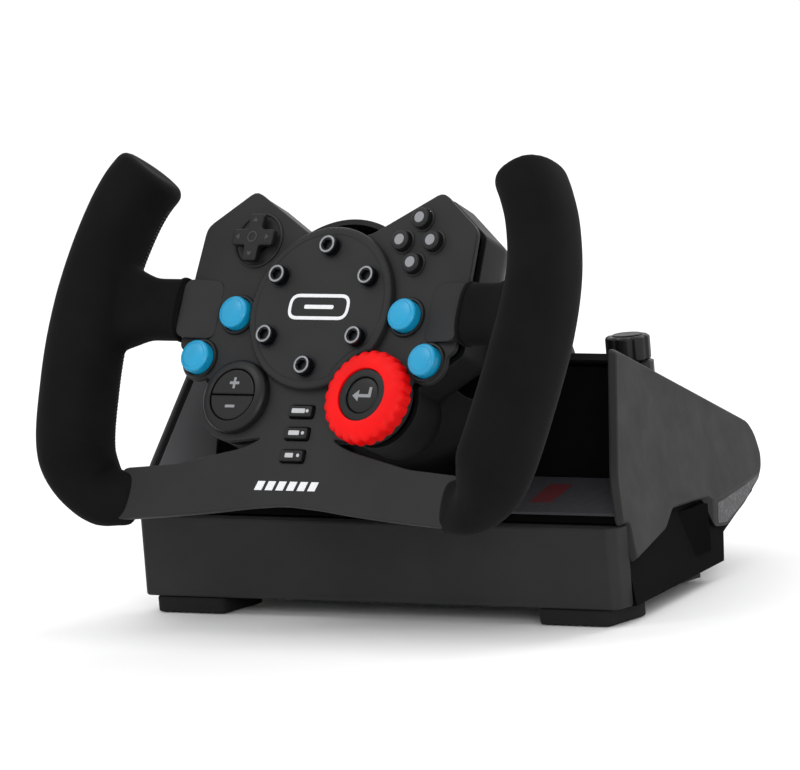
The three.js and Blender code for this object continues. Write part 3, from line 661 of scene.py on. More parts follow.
def oval(angle, power=2.35):
    """A point on a slightly squared circle."""
    x, y = math.cos(angle), math.sin(angle)
    return (math.copysign(abs(x) ** (2 / power), x), math.copysign(abs(y) ** (2 / power), y))


def grip_point(centre, along, size, angle):
    x, y = oval(angle)
    across_way = Vector((along.y, -along.x, 0)).normalized()
    return centre + across_way * x * size[0] + Vector((0, 0, 1)) * y * size[1]


def closed_tube(rings):
    """A closed solid through rings of points, capped with a point at each end."""
    shape = bmesh.new()
    loops = [[shape.verts.new(point) for point in ring] for ring in rings]
    for one, two in zip(loops, loops[1:]):
        wall(shape, one, two)
    for loop in (loops[0], loops[-1]):
        middle = shape.verts.new(sum((vert.co for vert in loop), Vector()) / len(loop))
        for i in range(len(loop)):
            shape.faces.new((loop[i - 1], loop[i], middle))
    bmesh.ops.recalc_face_normals(shape, faces=shape.faces)
    return shape


def grip_tube(count=48):
    rounding, dish = 4.6, 0.7
    line = spline(GRIP_LINE, 70)
    rings = [(centre, along, grip_size(i / (len(line) - 1)), 0) for i, (centre, along) in enumerate(line)]
    for way in (-1, 1):
        centre, along, size, _ = rings[0] if way < 0 else rings[-1]
        ends = []
        for k in range(1, 8):
            turn = math.pi / 2 * k / 7
            shrink = rounding * (1 - math.cos(turn))
            reach = way * rounding * math.sin(turn)
            ends.append((centre, along, (size[0] - shrink, size[1] - shrink), reach))
        for share in (0.75, 0.5, 0.25):
            reach = way * (rounding - dish * (1 - share))
            inner = ((size[0] - rounding) * share, (size[1] - rounding) * share)
            ends.append((centre, along, inner, reach))
        rings = list(reversed(ends)) + rings if way < 0 else rings + ends
    loops = []
    for centre, along, size, beyond in rings:
        middle = centre + along * beyond
        loops.append([grip_point(middle, along, size, 2 * math.pi * i / count) for i in range(count)])
    return closed_tube(loops)


def grip_stub(count=40):
    """The wrapped spoke, from the shoulder's end into the grip, flaring where they meet."""
    start, end = STUB_START, 116
    middle = (SPOKE_TOP + SPOKE_BOTTOM) / 2
    half_height = (SPOKE_TOP - SPOKE_BOTTOM) / 2 - 0.5
    stations = [(start, -1.2), (start + 0.4, -0.4), (start + 1.4, 0)]
    stations += [(start + 1.4 + (end - start - 1.4) * k / 12, 0) for k in range(1, 13)]
    loops = []
    for x, swell in stations:
        flare = 5 * smooth_step((x - 92) / 18)
        loop = []
        for i in range(count):
            across_part, deep = oval(2 * math.pi * i / count, STUB_POWER)
            loop.append(Vector((x, middle + across_part * (half_height + swell + flare),
                                STUB_DEEP + 2 * smooth_step((x - 88) / 22)
                                + deep * (8.6 + swell + 0.6 * flare))))
        loops.append(loop)
    return closed_tube(loops)


def smoothed(piece, voxel, rounds):
    """Blends a piece's solids into one skin."""
    piece.modifiers.clear()
    remesh = piece.modifiers.new("one skin", "REMESH")
    remesh.mode = "VOXEL"
    remesh.voxel_size = voxel * MM
    remesh.use_smooth_shade = True
    smooth = piece.modifiers.new("soft blend", "SMOOTH")
    smooth.factor = 0.5
    smooth.iterations = rounds


def bead(start, end, radius, count=8):
    """A short rounded rod between two points, such as one stitch."""
    way = end - start
    turn = way.to_track_quat("Z", "Y").to_matrix().to_4x4()
    length = way.length
    tip = [(0, -radius * 0.6), (radius * 0.8, -radius * 0.25), (radius, radius * 0.5)]
    profile = tip + [(reach, length - height) for reach, height in reversed(tip)]
    return moved(turned(profile, count=count), Matrix.Translation(start) @ turn)


def grip_seam(sign):
    """The sewn seam along the inside back of a grip: a raised welt and its cross stitches."""
    steps = 92
    line = spline(GRIP_LINE, steps)
    seam = math.radians(WRAP_SEAM)
    spread = math.radians(7)
    stitches, welt = [], []
    for i in range(9, 89):
        centre, along = line[i]
        size = grip_size(i / steps)
        low = grip_point(centre, along, size, seam - spread)
        high = grip_point(centre + along * 1.1, along, size, seam + spread)
        if i < 47 or i > 62:
            stitches.append(bead(low, high, 0.42, 6))
        ridge = [grip_point(centre, along, (size[0] + lift, size[1] + lift), seam + turn)
                 for lift, turn in ((-0.6, -0.05), (0.28, -0.02), (0.28, 0.02), (-0.6, 0.05))]
        welt.append(ridge)
    return mirrored(merged(*stitches), sign), mirrored(closed_tube(welt), sign)


def wrap_edge(sign):
    """The folded edge of the wrap on the spoke."""
    middle = (SPOKE_TOP + SPOKE_BOTTOM) / 2
    half_height = (SPOKE_TOP - SPOKE_BOTTOM) / 2 - 0.2
    where, half_depth = STUB_START + 1.5, 9
    loops = []
    for k in range(9):
        turn = math.pi * k / 8
        shift, lift = -1.1 * math.cos(turn), 0.7 * math.sin(turn) - 0.5
        tall, deep = half_height + lift, half_depth + lift
        loops.append([Vector((where + shift, middle + a * tall, STUB_DEEP + b * deep))
                      for a, b in (oval(2 * math.pi * i / 48, STUB_POWER) for i in range(48))])
    return mirrored(closed_tube(loops), sign)


def grips():
    for side, sign in SIDES.items():
        skin = mirrored(merged(grip_tube(), grip_stub()), sign)
        wrap = on_wheel(f"grip_wrap_{side}", skin, suede, [f"grip_{side}"])
        smoothed(wrap, 1.3, 8)
        stitches, welt = grip_seam(sign)
        on_wheel(f"grip_stitches_{side}", stitches, stitch_thread)
        on_wheel(f"grip_welt_{side}", welt, suede)
        on_wheel(f"spoke_hem_{side}", wrap_edge(sign), suede)


def hub():
    rim = HUB_RADIUS - 0.2
    edge = [(0, FACE_FRONT + 0.4), (0, HUB_FRONT - 1.4), (0.5, HUB_FRONT - 0.5), (1.4, HUB_FRONT)]
    outline = soften(bitten_circle((0, HUB_DROP), rim, DIAL_PLACE, DIAL_RADIUS + 0.6), 1.2, 3)
    on_wheel("hub_plate", stack(outline, edge), face_finish, ["hub_disc"])
    lip_line = bitten_circle((0, HUB_DROP), rim - 3.2, DIAL_PLACE, DIAL_RADIUS + 3.8)
    lip = slab(lip_line, HUB_FRONT - 0.1, HUB_FRONT + 0.14, 0.07, [inset(lip_line, 0.7)], steps=1)
    face_trim("hub_lip", lip)


def hub_badge():
    """A plain badge: a long ring with a short bar inside."""
    low, high = HUB_FRONT - 0.05, HUB_FRONT + 0.2
    outer = rounded_box((0, HUB_DROP), 16.5, 6, corner=5.9, steps=8)
    ring = slab(outer, low, high, 0.1, [inset(outer, 1.6)], steps=1)
    bar = slab(rounded_box((0, HUB_DROP), 8, 0.95, corner=0.9, steps=4), low, high, 0.1, steps=1)
    on_wheel("hub_badge", merged(ring, bar), white_ink)


def hub_bolts():
    base = HUB_FRONT + 0.15
    top = HUB_FRONT + 4.3
    for i, place in enumerate(BOLT_PLACES):
        socket = circle(place, 2.5, 6)
        knurl = [(place[0] + r * math.cos(a), place[1] + r * math.sin(a)) for a, r in
                 ((2 * math.pi * k / 72, 4.4 - 0.16 * (k % 2)) for k in range(72))]
        head = stack(knurl, [(0.2, base), (0, base + 0.3), (0, top - 1), (0.25, top - 0.7)],
                     [(socket, [(0, base + 1.4), (0, top - 0.7)])])
        floor = slab(socket, base + 0.9, base + 1.5, 0.05, steps=1)
        washer = slab(circle(place, 5.4, 48), HUB_FRONT - 0.05, base + 0.15, 0.1, steps=1)
        on_wheel(f"hub_bolt_head_{i + 1}", merged(head, floor, washer), dark_metal,
                 [f"hub_bolt_{i + 1}"])
        ring = slab(circle(place, 4.0, 48), top - 0.75, top, 0.3, [circle(place, 2.95, 48)])
        on_wheel(f"hub_bolt_ring_{i + 1}", ring, satin_steel)


def face_trim(name, shape):
    """A black detail that stays on the face."""
    on_wheel(name, shape, button_finish)


def button(name, shape, body, finish=button_finish):
    """A cap that moves with the body whose CAD node it stands for."""
    on_wheel(name, shape, finish, [body], body)


def button_mark(name, shape, body, ink):
    """A detail that moves with a button's body and stands for no CAD node."""
    on_wheel(name, shape, ink, body=body)


def round_button(radius, low, high, crown, edge):
    """A round push button with a rounded edge and a shallow dome."""
    side = [(0, low), (radius, low), (radius, high - crown - edge)]
    turn = [(radius - edge * (1 - math.cos(a)), high - crown - edge + edge * math.sin(a))
            for a in (math.pi / 2 * k / 5 for k in range(1, 6))]
    dome = [((radius - edge) * math.cos(a), high - crown + crown * math.sin(a))
            for a in (math.pi / 2 * k / 6 for k in range(1, 6))]
    return turned(side + turn + dome + [(0, high)])


def blue_buttons():
    inner, outer = BLUE_RADIUS + 0.35, BLUE_RADIUS + 1.9
    for side, sign in SIDES.items():
        for level, place in zip(("upper", "lower"), BLUE_PLACES):
            x, y = place[0] * sign, place[1]
            name = f"{side}_{level}"
            cap = shifted(round_button(BLUE_RADIUS, -0.2, 7.5, 0.9, 1.5), x, y)
            button(f"blue_cap_{name}", cap, f"blue_button_{name}", blue_finish)
            collar = turned([(inner, 0.4), (outer, 0.4), (outer, 1.5),
                             (outer - 0.4, 2.1), (inner + 0.25, 2.2),
                             (inner, 1.9), (inner, 0.4)])
            face_trim(f"blue_collar_{name}", shifted(collar, x, y))


def face_buttons():
    inner = BUTTON_RADIUS + 0.25
    for name, place in zip(("top", "right", "bottom", "left"), BUTTON_PLACES):
        cap = shifted(round_button(BUTTON_RADIUS, -0.2, 4.9, 0.12, 0.9), *place)
        button(f"face_cap_{name}", cap, f"face_button_{name}")
        mark = slab(circle(place, 2.5, 32), 4.75, 5.0, PRINT_EDGE, steps=1)
        button_mark(f"face_mark_{name}", mark, f"face_button_{name}", silver_ink)
        collar = turned([(inner, 0.4), (inner + 1.05, 0.4), (inner + 0.85, 1.35), (inner, 1.5), (inner, 0.4)])
        face_trim(f"face_collar_{name}", shifted(collar, *place))


def four_way_pad():
    long, short = 11, 3.8
    arm = [(short, -long), (short, -short), (long, -short), (long, short), (short, short), (short, long)]
    cross = soften(arm + [(-x, -y) for x, y in arm], 1.3, 4)
    x, y = mirror_place(PAD_PLACE)
    cap = slab(cross, 2.6, 6.3, 0.9, steps=4)
    marks = []
    for k in range(4):
        arrow = slab(soften([(-1.5, 7), (1.5, 7), (0, 9.2)], 0.4, 3), 6.2, 6.55, 0.12, steps=1)
        marks.append(moved(arrow, Matrix.Rotation(math.pi / 2 * k, 4, "Z")))
    marks.append(turned([(1.9, 6.2), (2.6, 6.2), (2.5, 6.55), (2.0, 6.55), (1.9, 6.2)], count=40))
    button("pad_cross", shifted(cap, x, y), "pad_cap")
    button_mark("pad_marks", shifted(merged(*marks), x, y), "pad_cap", ledge_finish)
    well = turned([(11.6, 0.5), (13.2, 0.5), (12.9, 1.5), (12, 1.7), (11.6, 1.4), (11.6, 0.5)], count=96)
    face_trim("pad_well", shifted(well, x, y))


def plus_minus():
    x, y = mirror_place(DIAL_PLACE)
    inner = ROCKER_RADIUS + 0.7
    ring = turned([(inner, 1.2), (17, 1.2), (16.8, 3.6), (16.2, 4.8), (15, 5.6), (13.2, 6.1),
                   (inner + 0.3, 6.1), (inner, 5.8), (inner, 1.2)], count=96)
    on_wheel("rocker_bezel", shifted(ring, x, y), button_finish, ["plus_minus_bezel"])
    for name, sign in (("plus", 1), ("minus", -1)):
        half = soften(arc((0, 0.3), ROCKER_RADIUS, 0, 180, 36), 0.8, 3)
        cap = moved(slab(half, -0.2, 5.8, 0.6), Matrix.Rotation(0 if sign > 0 else math.pi, 4, "Z"))
        button(f"{name}_cap", shifted(cap, x, y), f"{name}_button")
        flat_bar = rounded_box((0, sign * 5.4), 2.6, 0.65, corner=0.3, steps=2)
        bars = [slab(flat_bar, 5.7, 5.95, PRINT_EDGE, steps=1)]
        if name == "plus":
            upright = rounded_box((0, 5.4), 0.65, 2.6, corner=0.3, steps=2)
            bars.append(slab(upright, 5.7, 5.97, PRINT_EDGE, steps=1))
        button_mark(f"{name}_sign", shifted(merged(*bars), x, y), f"{name}_button", silver_ink)


def selector():
    """The ring dial: soft ridges round its side that fade out towards its flat front."""
    lobes, low, shelf, front, hole = 24, 1.35, 7.5, 10, ENTER_RADIUS + 0.4

    def ridged(radius, depth, height):
        ring = fluted(lambda a: radius - depth * (0.5 - 0.5 * math.cos(lobes * a)) ** 2, lobes * 10)
        return [(x, y, height) for x, y in ring]
    levels = [(DIAL_RADIUS - 0.7, low, 0.7), (DIAL_RADIUS - 0.1, 2, 0.9), (DIAL_RADIUS - 0.1, front - 4, 0.9),
              (DIAL_RADIUS - 0.5, front - 2.9, 0.85), (DIAL_RADIUS - 1.5, front - 1.8, 0.6),
              (DIAL_RADIUS - 3, front - 0.9, 0.3), (DIAL_RADIUS - 4.8, front - 0.3, 0.1),
              (DIAL_RADIUS - 6.8, front, 0)]
    rings = [ridged(radius, depth, height) for radius, height, depth in levels]
    mouth = [[(x, y, height) for x, y in circle((0, 0), hole + flare, 96)]
             for flare, height in ((0, low), (0, shelf - 0.2), (0.2, shelf), (3.1, shelf), (3.3, shelf + 0.2),
                                   (3.3, front - 0.6), (3.5, front - 0.15), (4, front))]
    ring = shifted(loft(rings, [mouth]), *DIAL_PLACE)
    button("dial_ring", ring, "selector_dial", red_finish)
    sleeve, inner, outer = hole - 0.1, hole - 0.25, hole + 3.1
    bezel = turned([(inner, 1.5), (sleeve, 1.5), (sleeve, shelf + 0.1), (outer, shelf + 0.1), (outer, 8.9),
                    (outer - 0.4, 9.2), (inner + 0.4, 9.2), (inner, 8.8), (inner, 1.5)], count=96)
    button_mark("dial_bezel", shifted(bezel, *DIAL_PLACE), "selector_dial", button_finish)


def enter_button():
    cap = shifted(round_button(ENTER_RADIUS - 0.1, -0.2, 9.1, 0.5, 0.9), *DIAL_PLACE)
    button("enter_cap", cap, "enter_button")
    arrow = [(-5.4, -1.4), (-2, -4.1), (-2, -2.2), (4.6, -2.2), (4.6, 2.6), (3.1, 2.6), (3.1, -0.7),
             (-2, -0.7), (-2, 1.3)]
    mark = slab(soften(arrow, 0.25, 2), 8.7, 9.14, PRINT_EDGE, steps=1)
    shifted(mark, DIAL_PLACE[0] + 0.3, DIAL_PLACE[1] + 1)
    button_mark("enter_mark", mark, "enter_button", silver_ink)


def menu_buttons():
    for i, height in enumerate(MENU_HEIGHTS):
        cap = slab(rounded_box((0, height), *MENU_HALF, corner=1.1, steps=4), -0.2, 2.7, 0.6)
        button(f"menu_cap_{i + 1}", cap, f"menu_button_{i + 1}")
        stroke = rounded_box((-0.8, height), 3.6 - 0.7 * i, 1.05, corner=0.5, steps=3)
        mark = slab(stroke, 2.6, 2.95, PRINT_EDGE, steps=1)
        dot = slab(circle((4, height), 0.8, 20), 2.6, 2.95, PRINT_EDGE, steps=1)
        button_mark(f"menu_mark_{i + 1}", merged(mark, dot), f"menu_button_{i + 1}", grey_ink)


def web_dashes():
    """A row of slanted dashes on the lower web."""
    dashes = []
    for k in range(6):
        x = -14.5 + 5.8 * k
        corners = [(x - 2.6, -84.8), (x + 1.4, -84.8), (x + 2.8, -80.6), (x - 1.2, -80.6)]
        dashes.append(slab(corners, FACE_FRONT - 0.05, FACE_FRONT + 0.18, PRINT_EDGE, steps=1))
    on_wheel("web_dashes", merged(*dashes), white_ink)


def pod_shell():
    """The pod's moulded back: draft on its sides, a round back edge and a thin wall."""
    crown = list(reversed(arc((0, HUB_DROP), 46, 59, 90, 12)))
    outline = both_sides(crown + WING[1:] + [(POD_SIDE, SPOKE_BOTTOM - 3)] + LOBE + [(14, -56), (0, -56)])
    front = -7.3
    profile = [(3.6, POD_BACK + 2.6), (3.2, front), (0.9, front), (0.6, front - 0.4), (0.9, -22), (1.6, -26),
               (3, -28.6), (5, POD_BACK + 0.2), (6.5, POD_BACK)]
    hole = circle((0, 0), 23.6, 72)
    mouth = [(0, POD_BACK + 2.6), (0, POD_BACK + 0.6), (0.6, POD_BACK)]
    shape = stack(outline, profile, [(hole, mouth)], corner=2.2)
    on_wheel("pod_shell", shape, pod_finish, ["pod_rear"])
    head = [(radius, POD_BACK + height) for radius, height in
            ((0, -0.1), (1.1, -0.1), (1.3, -0.5), (2.4, -0.5), (2.9, 0), (2.9, 0.4), (0, 0.4))]
    screws = []
    for x, y in ((48, 40), (62, 2), (45, -52)):
        for sign in (-1, 1):
            screws.append(shifted(turned(head, count=32), sign * x, y))
    on_wheel("pod_screws", merged(*screws), dark_metal)


def paddles():
    back = POD_BACK - 10
    blade_line = [(31, -12), (60, -30), (88, -24), (92, 2), (84, 24), (58, 18), (31, 12)]
    for side, sign in SIDES.items():
        blade = slab(soften(blade_line, 7, 6), back, back + 3, 0.9, [circle((48, 0), 4.5, 40)], steps=4)
        for vert in blade.verts:
            vert.co.z += 2.2 * smooth_step((vert.co.x - 70) / 24)
        barrel = turned([(0, -12), (3.2, -12), (3.9, -11.3), (3.9, 11.3), (3.2, 12), (0, 12)])
        tilted(barrel, (29, 0, back + 3), math.pi / 2)
        shape = mirrored(merged(blade, barrel), sign)
        on_wheel(f"paddle_blade_{side}", shape, dark_metal, [f"paddle_{side}"],
                 f"paddle_{side}")


# ---- Pieces of the base ----
def panel_x(back, up):
    """How far out the side panels' outer planes lie."""
    return 140.5 - 0.262 * back - 0.14 * up


def cover_z(back):
    return NOSE[1] - 0.5 + COVER_SLOPE * (back - NOSE[0])


def on_panel(shape, sign):
    """Lays a shape of (back, up, depth) points on one of the leaning side panels."""
    for vert in shape.verts:
        back, up, depth = vert.co
        vert.co = (sign * (panel_x(back, up) - PANEL_WALL + depth), back, up)
    bmesh.ops.recalc_face_normals(shape, faces=shape.faces)
    return shape


def heel_patch(rim, face):
    """The grained strip on a panel's lower rear facet, between its rim and its face."""
    (rim_depth, face_depth), proud, thick = (1.2, 3.5), 0.12, 0.9
    first, last = 6, 9
    stations = [(first, 0.3), (first + 1, 0), (first + 2, 0), (last - 1, 0.85)]
    loops = []
    for i, share in stations:
        foot = Vector(rim[i]).lerp(Vector(rim[i + 1]), share)
        head = face[i].lerp(face[i + 1], share)
        loop = []
        for along, lift in ((0.12, proud), (0.9, proud), (0.9, -thick), (0.12, -thick)):
            spot = foot.lerp(head, along)
            loop.append((spot.x, spot.y, rim_depth + (face_depth - rim_depth) * along + lift))
        loops.append([Vector(point) for point in loop])
    return closed_tube(loops)


def side_panels():
    """The panels' outer faces fall away at the lower rear edge, which leaves a facet there; the grained strip
    laid on it is painted pale, standing in for light from below.
    """
    rim = [(5, 44.3), (12.9, 44.3), (12.9, 27), (56, 34), (68, 41), (109, 38.5), (118, 24.5), (132, 22.5),
           (158, 28), (183, 36), (185, 46), (182, 56.5), TAIL, (42, 116.4), NOSE, (9, 65)]
    facet = {6: (-1, 10), 7: (0, 12.5), 8: (0, 8), 9: (-2, 1.5)}
    low = inset(rim, 0.4)
    face = [corner + Vector(facet.get(i, (0, 0))) for i, corner in enumerate(inset(rim, 1.1))]
    layers = [(low, 0), (rim, 0.4), (rim, 1.2), (face, 3.5), (inset(face, 0.8), PANEL_WALL)]
    for side, sign in SIDES.items():
        rings = [[(p[0], p[1], depth) for p in soften(points, 3, 4)] for points, depth in layers]
        shape = on_panel(loft(rings), sign)
        on_base(f"panel_{side}", shape, panel_finish, [f"side_panel_{side}"], sharp=28)
        # the heel strip's pale colour is painted light; its pits are grain
        on_base(f"panel_heel_painted_light_{side}", on_panel(heel_patch(rim, face), sign), heel_grain_painted_light)


def panel_painted_light_sheets():
    """Thin paler sheets on the panels' inner faces, in the open recess in front of the fascia: painted light
    for the light that falls on these faces, where the panels' own plastic is darker.
    """
    outline = soften([(11.5, 49), (11.8, 64.2), (37.4, 114.2), (45.6, 109), (43, 60.4)], 2, 4)
    for side, sign in SIDES.items():
        sheet = on_panel(slab(outline, -0.7, -0.15, 0.2, steps=2), sign)
        # each sheet is painted light on the panel's inner face
        on_base(f"panel_painted_light_{side}", sheet, painted_light_lining_finish)


def apron():
    corner = 5
    end = APRON_HALF - corner
    plan = [(0, 0)] + arc((end, corner), corner, -75, 0, 10) + [(APRON_HALF, APRON_DEPTH), (0, APRON_DEPTH)]
    whole = plan + [(-x, y) for x, y in reversed(plan) if x > 0]
    shape = slab(whole, UNDERSIDE, APRON_TOP, 1.1, steps=4)
    on_base("apron_band", shape, apron_finish, ["apron"])


def across_base(points, inset_by, margin=0.0):
    """Lays a side profile across the base out to the panels, as a closed solid."""
    shape = bmesh.new()
    sides = []
    for sign in (-1, 1):
        sides.append([shape.verts.new((sign * (panel_x(y, z) - inset_by - margin), y, z)) for y, z in points])
    wall(shape, *sides)
    for ring in sides:
        bmesh.ops.triangle_fill(shape, use_beauty=True, edges=ring_edges(shape, ring))
    bmesh.ops.recalc_face_normals(shape, faces=shape.faces)
    return shape


def ledge():
    """The grey shelf behind the apron, with a small plain badge at its right end."""
    (y0, z0), (y1, z1) = LEDGE
    rise = (z1 - z0) / (y1 - y0)
    front, back, lift = 13.5, 43, 0.35

    def height(y):
        return z0 + rise * (y - y0)
    profile = [(front, height(front) + lift), (back, height(back) + lift), (back, height(back) + lift + 0.9),
               (back - 0.5, height(back - 0.5) + lift + 1.1), (front + 0.5, height(front + 0.5) + lift + 1.1),
               (front, height(front) + lift + 0.9)]
    on_base("ledge", across_base(profile, PANEL_INSET, 0.7), ledge_finish)
    badge = slab(soften([(-7, -8), (5, -8), (7, 8), (-5, 8)], 1.6, 3), 0, 0.4, 0.15, steps=1)
    tilted(badge, (79, 29, height(29) + lift + 1.0), math.atan(rise))
    on_base("ledge_badge", badge, red_ink)


def drum(grow, front, back):
    """The steering column's drum as a profile of [radius, height], rounded at its shoulders."""
    radius, top, bottom = COLUMN_RADIUS + grow, COLUMN_TOP + front, COLUMN_BOTTOM + back
    points = [(0, bottom), (30 + grow, bottom), (radius, -130), (radius, -78), (34 + grow, top), (0, top)]
    return soften(points, 5, 5, closed=False)


def column_housing():
    """The hump over the column: a thin drum, cut away where it would run inside the base."""
    solid = new_object("column shell", moved(turned(drum(0, 0, 0), count=128), WHEEL))
    shaft_hole = turned([(0, -75), (17, -75), (17, -50), (0, -50)])
    cutters = [moved(turned(drum(-3, -3, 3), count=96), WHEEL), moved(shaft_hole, WHEEL)]
    front, back, floor = 46, 174, 12
    inside = [(front, 57), (51.6, 107.2), (52, cover_z(52) - 3), (back, cover_z(back) - 3), (back, floor),
              (front, floor)]
    cutters.append(moved(across_base(inside, 0), BASE))
    for cutter in cutters:
        tool = new_object("cutter", cutter)
        cut = solid.modifiers.new("cut", "BOOLEAN")
        cut.operation, cut.solver, cut.object = "DIFFERENCE", "EXACT", tool
        graph = bpy.context.evaluated_depsgraph_get()
        left = bpy.data.meshes.new_from_object(solid.evaluated_get(graph))
        solid.modifiers.clear()
        solid.data = left
        bpy.data.objects.remove(tool)
    shape = bmesh.new()
    shape.from_mesh(solid.data)
    bpy.data.objects.remove(solid)
    # the hump's near-black finish is partly painted shade
    add("column_hump", shape, Matrix.Identity(4), column_painted_shade, "base", ["column_housing"],
        sharp=30)
    collar = turned([(17.3, -60.6), (21, -60.6), (21, -56.6), (20.3, -55.9), (18, -55.9), (17.3, -56.6),
                     (17.3, -60.6)], count=96)
    add("column_collar", collar, WHEEL, button_finish, "base")


def cover_vents():
    """Two banks of cooling louvres on the sloping cover."""
    bars = []
    for sign in (-1, 1):
        for k in range(7):
            y = 122 + 6.2 * k
            bar = slab(rounded_box((0, 0), 21, 1.5, corner=1.4, steps=5), 0, 1.3, 0.5, steps=3)
            bars.append(tilted(bar, (sign * 44, y, cover_z(y) + 0.05), COVER_TILT))
    on_base("cover_louvres", merged(*bars), button_finish)


def screw_head(radius=2.6):
    """A pan-head screw with a cross recess, standing on z = 0."""
    head = [(0, 0), (radius, 0), (radius, 0.5), (radius * 0.86, 1.1), (radius * 0.5, 1.5), (0, 1.6)]
    slot = [slab(rectangle((0, 0), *half), 1.35, 1.72, 0.05, steps=1) for half in ((1.5, 0.35), (0.35, 1.5))]
    return turned(head, count=32), merged(*slot)


def cover_screws():
    heads, slots = [], []
    for x, y in ((-70, 160), (70, 160), (-96, 62), (96, 62)):
        for shape, group in zip(screw_head(), (heads, slots)):
            group.append(tilted(shape, (x, y, cover_z(y) + 0.02), COVER_TILT))
    on_base("cover_screw_heads", merged(*heads), bright_steel)
    # painted shade in the screws' cross recesses
    on_base("cover_screw_slots", merged(*slots), recess_painted_shade)


def sockets():
    """Contacts inside the three plug sockets at the back, and a plain frame round each."""
    turn = -math.pi / 2
    pins, frames = [], []
    for x in (-22, 0, 22):
        border = slab(rounded_box((0, 0), 8.3, 6.8, corner=1.5, steps=4), 0, 0.8, 0.3,
                      [rounded_box((0, 0), 7, 5.5, corner=1, steps=4)])
        frames.append(tilted(border, (x, SOCKET_FACE, SOCKET_HEIGHT), turn))
        for k in range(6 if x else 1):
            offset = -5 + 2 * k if x else 0
            radius = 0.5 if x else 1.4
            pin = turned([(0, 0), (radius, 0), (radius, 6), (radius * 0.6, 6.8), (0, 7)], count=20)
            pins.append(tilted(pin, (x + offset, SOCKET_FACE - 10.8, SOCKET_HEIGHT), turn))
    on_base("socket_frames", merged(*frames), button_finish)
    on_base("socket_pins", merged(*pins), brass_finish)


def clamp_knobs():
    low, high, flutes = KNOB_BOTTOM, KNOB_TOP, 8
    outline = fluted(lambda a: KNOB_RADIUS - 0.9 * max(0.0, math.cos(flutes * a)) ** 2, 192)
    body = slab(outline, low, high - 0.6, 1.5, steps=4)
    crown = turned([(0, high - 0.8), (6.4, high - 0.8), (6.8, high - 0.3), (6.4, high), (0, high - 0.3)])
    thread = [(0, 20)]
    pitch, z = 3, 20.6
    while z < 70:
        thread += [(3.35, z), (3.95, z + pitch / 2)]
        z += pitch
    thread += [(3.8, z), (3.8, low + 0.5), (0, low + 0.5)]
    screw = turned(thread, count=32)
    for side, sign in SIDES.items():
        x = sign * CLAMP[0]
        knob = shifted(merged(body.copy(), crown.copy()), x, CLAMP[1])
        on_base(f"knob_{side}", knob, button_finish, [f"clamp_knob_{side}"],
                f"clamp_knob_{side}")
        rod = shifted(screw.copy(), x, CLAMP[1])
        on_base(f"clamp_screw_rod_{side}", rod, bright_steel, body=f"clamp_knob_{side}")
        pad = slab(rounded_box((x, CLAMP[1] + 8), 9.2, 18.5, corner=2, steps=4), 5.75, 7.2, 0.4)
        on_base(f"jaw_pad_{side}", pad, rubber_finish, body=f"clamp_carriage_{side}")


def feet():
    """Moulded rubber feet with a raised grip pattern on their soles."""
    spots = {"front_foot_left": ((-105, 16.75), (19, 15.25)), "front_foot_right": ((105, 16.75), (19, 15.25)),
             "rear_foot": ((0, 106), (60, 12))}
    for name, (centre, half) in spots.items():
        body = slab(rounded_box(centre, *half, corner=3.5, steps=5), 0.5, 7.7, 0.9, steps=4)
        ribs = []
        count = int((half[0] - 3) // 4)
        for k in range(-count, count + 1):
            bar = rounded_box((centre[0] + 4 * k, centre[1]), 1.1, half[1] - 2.5, corner=0.6, steps=3)
            ribs.append(slab(bar, 0, 1, 0.25, steps=2))
        on_base(f"{name}_rubber", merged(body, *ribs), rubber_finish, [name])


# ---- CAD nodes that stay: soft edges and finishes ----
def dress_cad():
    looks = {
        dark_metal: {"rim_plate": 0.6, "steering_shaft": 0.8, "gearbox_front_plate": 0.6,
                     "gearbox_rear_plate": 0.6, "motor_left": 0.6, "motor_right": 0.6,
                     "clamp_carriage_left": 0.7, "clamp_carriage_right": 0.7},
        board_finish: {"wheel_board": 0.2, "main_board": 0.2},
        nylon_finish: {"main_gear": 0.25},
        bright_steel: {"front_bearing": 0.5, "rear_bearing": 0.5},
        brass_finish: {"motor_pinion_left": 0.15, "motor_pinion_right": 0.15},
        pod_finish: {"pad_pivot": 0.3, "top_cover": 0.8, "rear_cover": 0.6},
        # painted shade on the fascia and the housing bottom, deep in the recess
        recess_painted_shade: {"housing_bottom": 0.8, "front_fascia": 0.6},
        button_finish: {"port_block": 0.5}}
    for finish, widths in looks.items():
        for name, width in widths.items():
            soften_node(frame["nodes"][name], finish, width)


def soften_node(node, finish, width):
    node.data.materials.clear()
    node.data.materials.append(finish)
    weld = node.modifiers.new("close the mesh", "WELD")
    weld.merge_threshold = WELD_REACH
    flat = node.modifiers.new("whole faces", "DECIMATE")
    flat.decimate_type = "DISSOLVE"
    flat.angle_limit = FLAT_ANGLE
    bevel = node.modifiers.new("soft edges", "BEVEL")
    bevel.width = width * MM
    bevel.segments = 3
    bevel.limit_method = "ANGLE"
    bevel.angle_limit = BEVEL_ANGLE
    bevel.harden_normals = True
    bevel.use_clamp_overlap = True


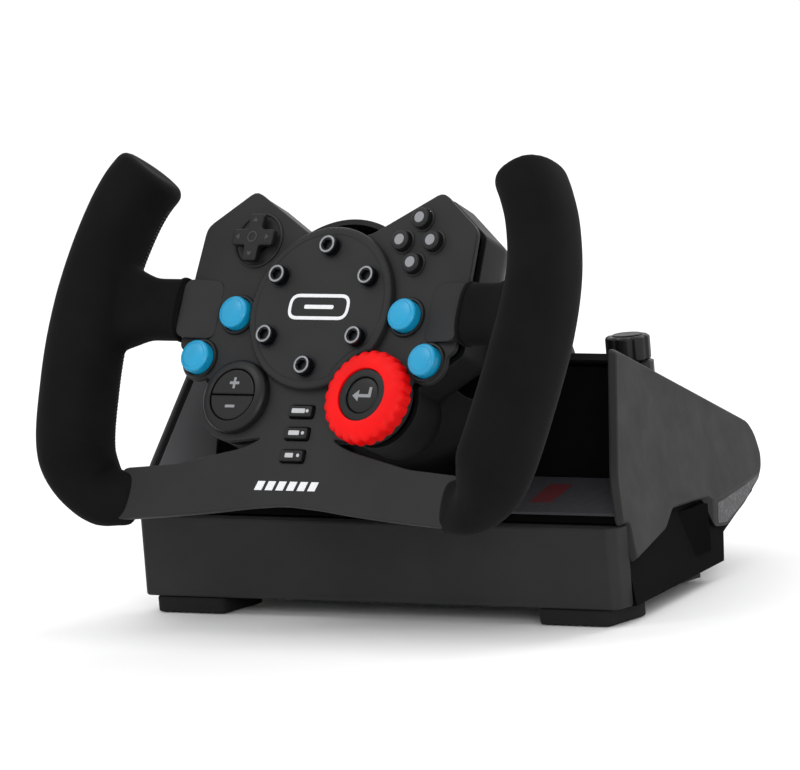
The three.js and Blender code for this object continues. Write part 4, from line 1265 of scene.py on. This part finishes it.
# ---- Studio ----
def studio():
    floor_mesh = bpy.data.meshes.new("studio floor")
    corners = [(x * FLOOR_HALF, y * FLOOR_HALF, cad_low.z) for x, y in ((-1, -1), (1, -1), (1, 1), (-1, 1))]
    floor_mesh.from_pydata(corners, [], [(0, 1, 2, 3)])
    floor_finish = Finish("studio floor", (0.93, 0.93, 0.93, 1), 0.8)
    floor_finish.vary_roughness(floor_finish.noise(3, 2), 0.05, 0.05)
    floor_mesh.materials.append(floor_finish.material)
    floor = bpy.data.objects.new("studio floor", floor_mesh)
    bpy.context.collection.objects.link(floor)

    world = bpy.data.worlds.new("studio")
    bpy.context.scene.world = world
    world.use_nodes = True
    sky = world.node_tree.nodes["Background"]
    sky.inputs["Color"].default_value = (1, 1, 1, 1)
    sky.inputs["Strength"].default_value = SKY_STRENGTH

    centre = (cad_low + cad_high) / 2
    for name, place, size, power in LAMPS:
        light = bpy.data.lights.new(name, "AREA")
        light.size = size
        light.energy = power
        lamp = bpy.data.objects.new(name, light)
        lamp.location = centre + Vector(place)
        lamp.rotation_euler = (-Vector(place)).to_track_quat("-Z", "Y").to_euler()
        bpy.context.collection.objects.link(lamp)
    bpy.context.scene.view_settings.view_transform = "Standard"


def camera():
    """Looks from the right and a little above, from far off, as in a catalogue picture."""
    back = Vector(VIEW_FROM).normalized()
    right = Vector(VIEW_UP).cross(back).normalized()
    up = back.cross(right)
    centre = (cad_low + cad_high) / 2 - right * VIEW_SHIFT[0] - up * VIEW_SHIFT[1]
    lens = bpy.data.cameras.new("camera")
    lens.sensor_width = SENSOR_WIDTH
    lens.lens = LENS_LENGTH
    lens.clip_end = VIEW_DISTANCE * 10
    eye = bpy.data.objects.new("camera", lens)
    turn = Matrix((right, up, back)).transposed().to_4x4()
    eye.matrix_world = Matrix.Translation(centre + back * VIEW_DISTANCE) @ turn
    bpy.context.collection.objects.link(eye)
    bpy.context.scene.camera = eye


face_cover()
spoke_shoulders()
grips()
hub()
hub_badge()
hub_bolts()
blue_buttons()
face_buttons()
four_way_pad()
plus_minus()
selector()
enter_button()
menu_buttons()
web_dashes()
pod_shell()
paddles()
side_panels()
panel_painted_light_sheets()
apron()
ledge()
column_housing()
cover_vents()
cover_screws()
sockets()
clamp_knobs()
feet()
dress_cad()
studio()
camera()
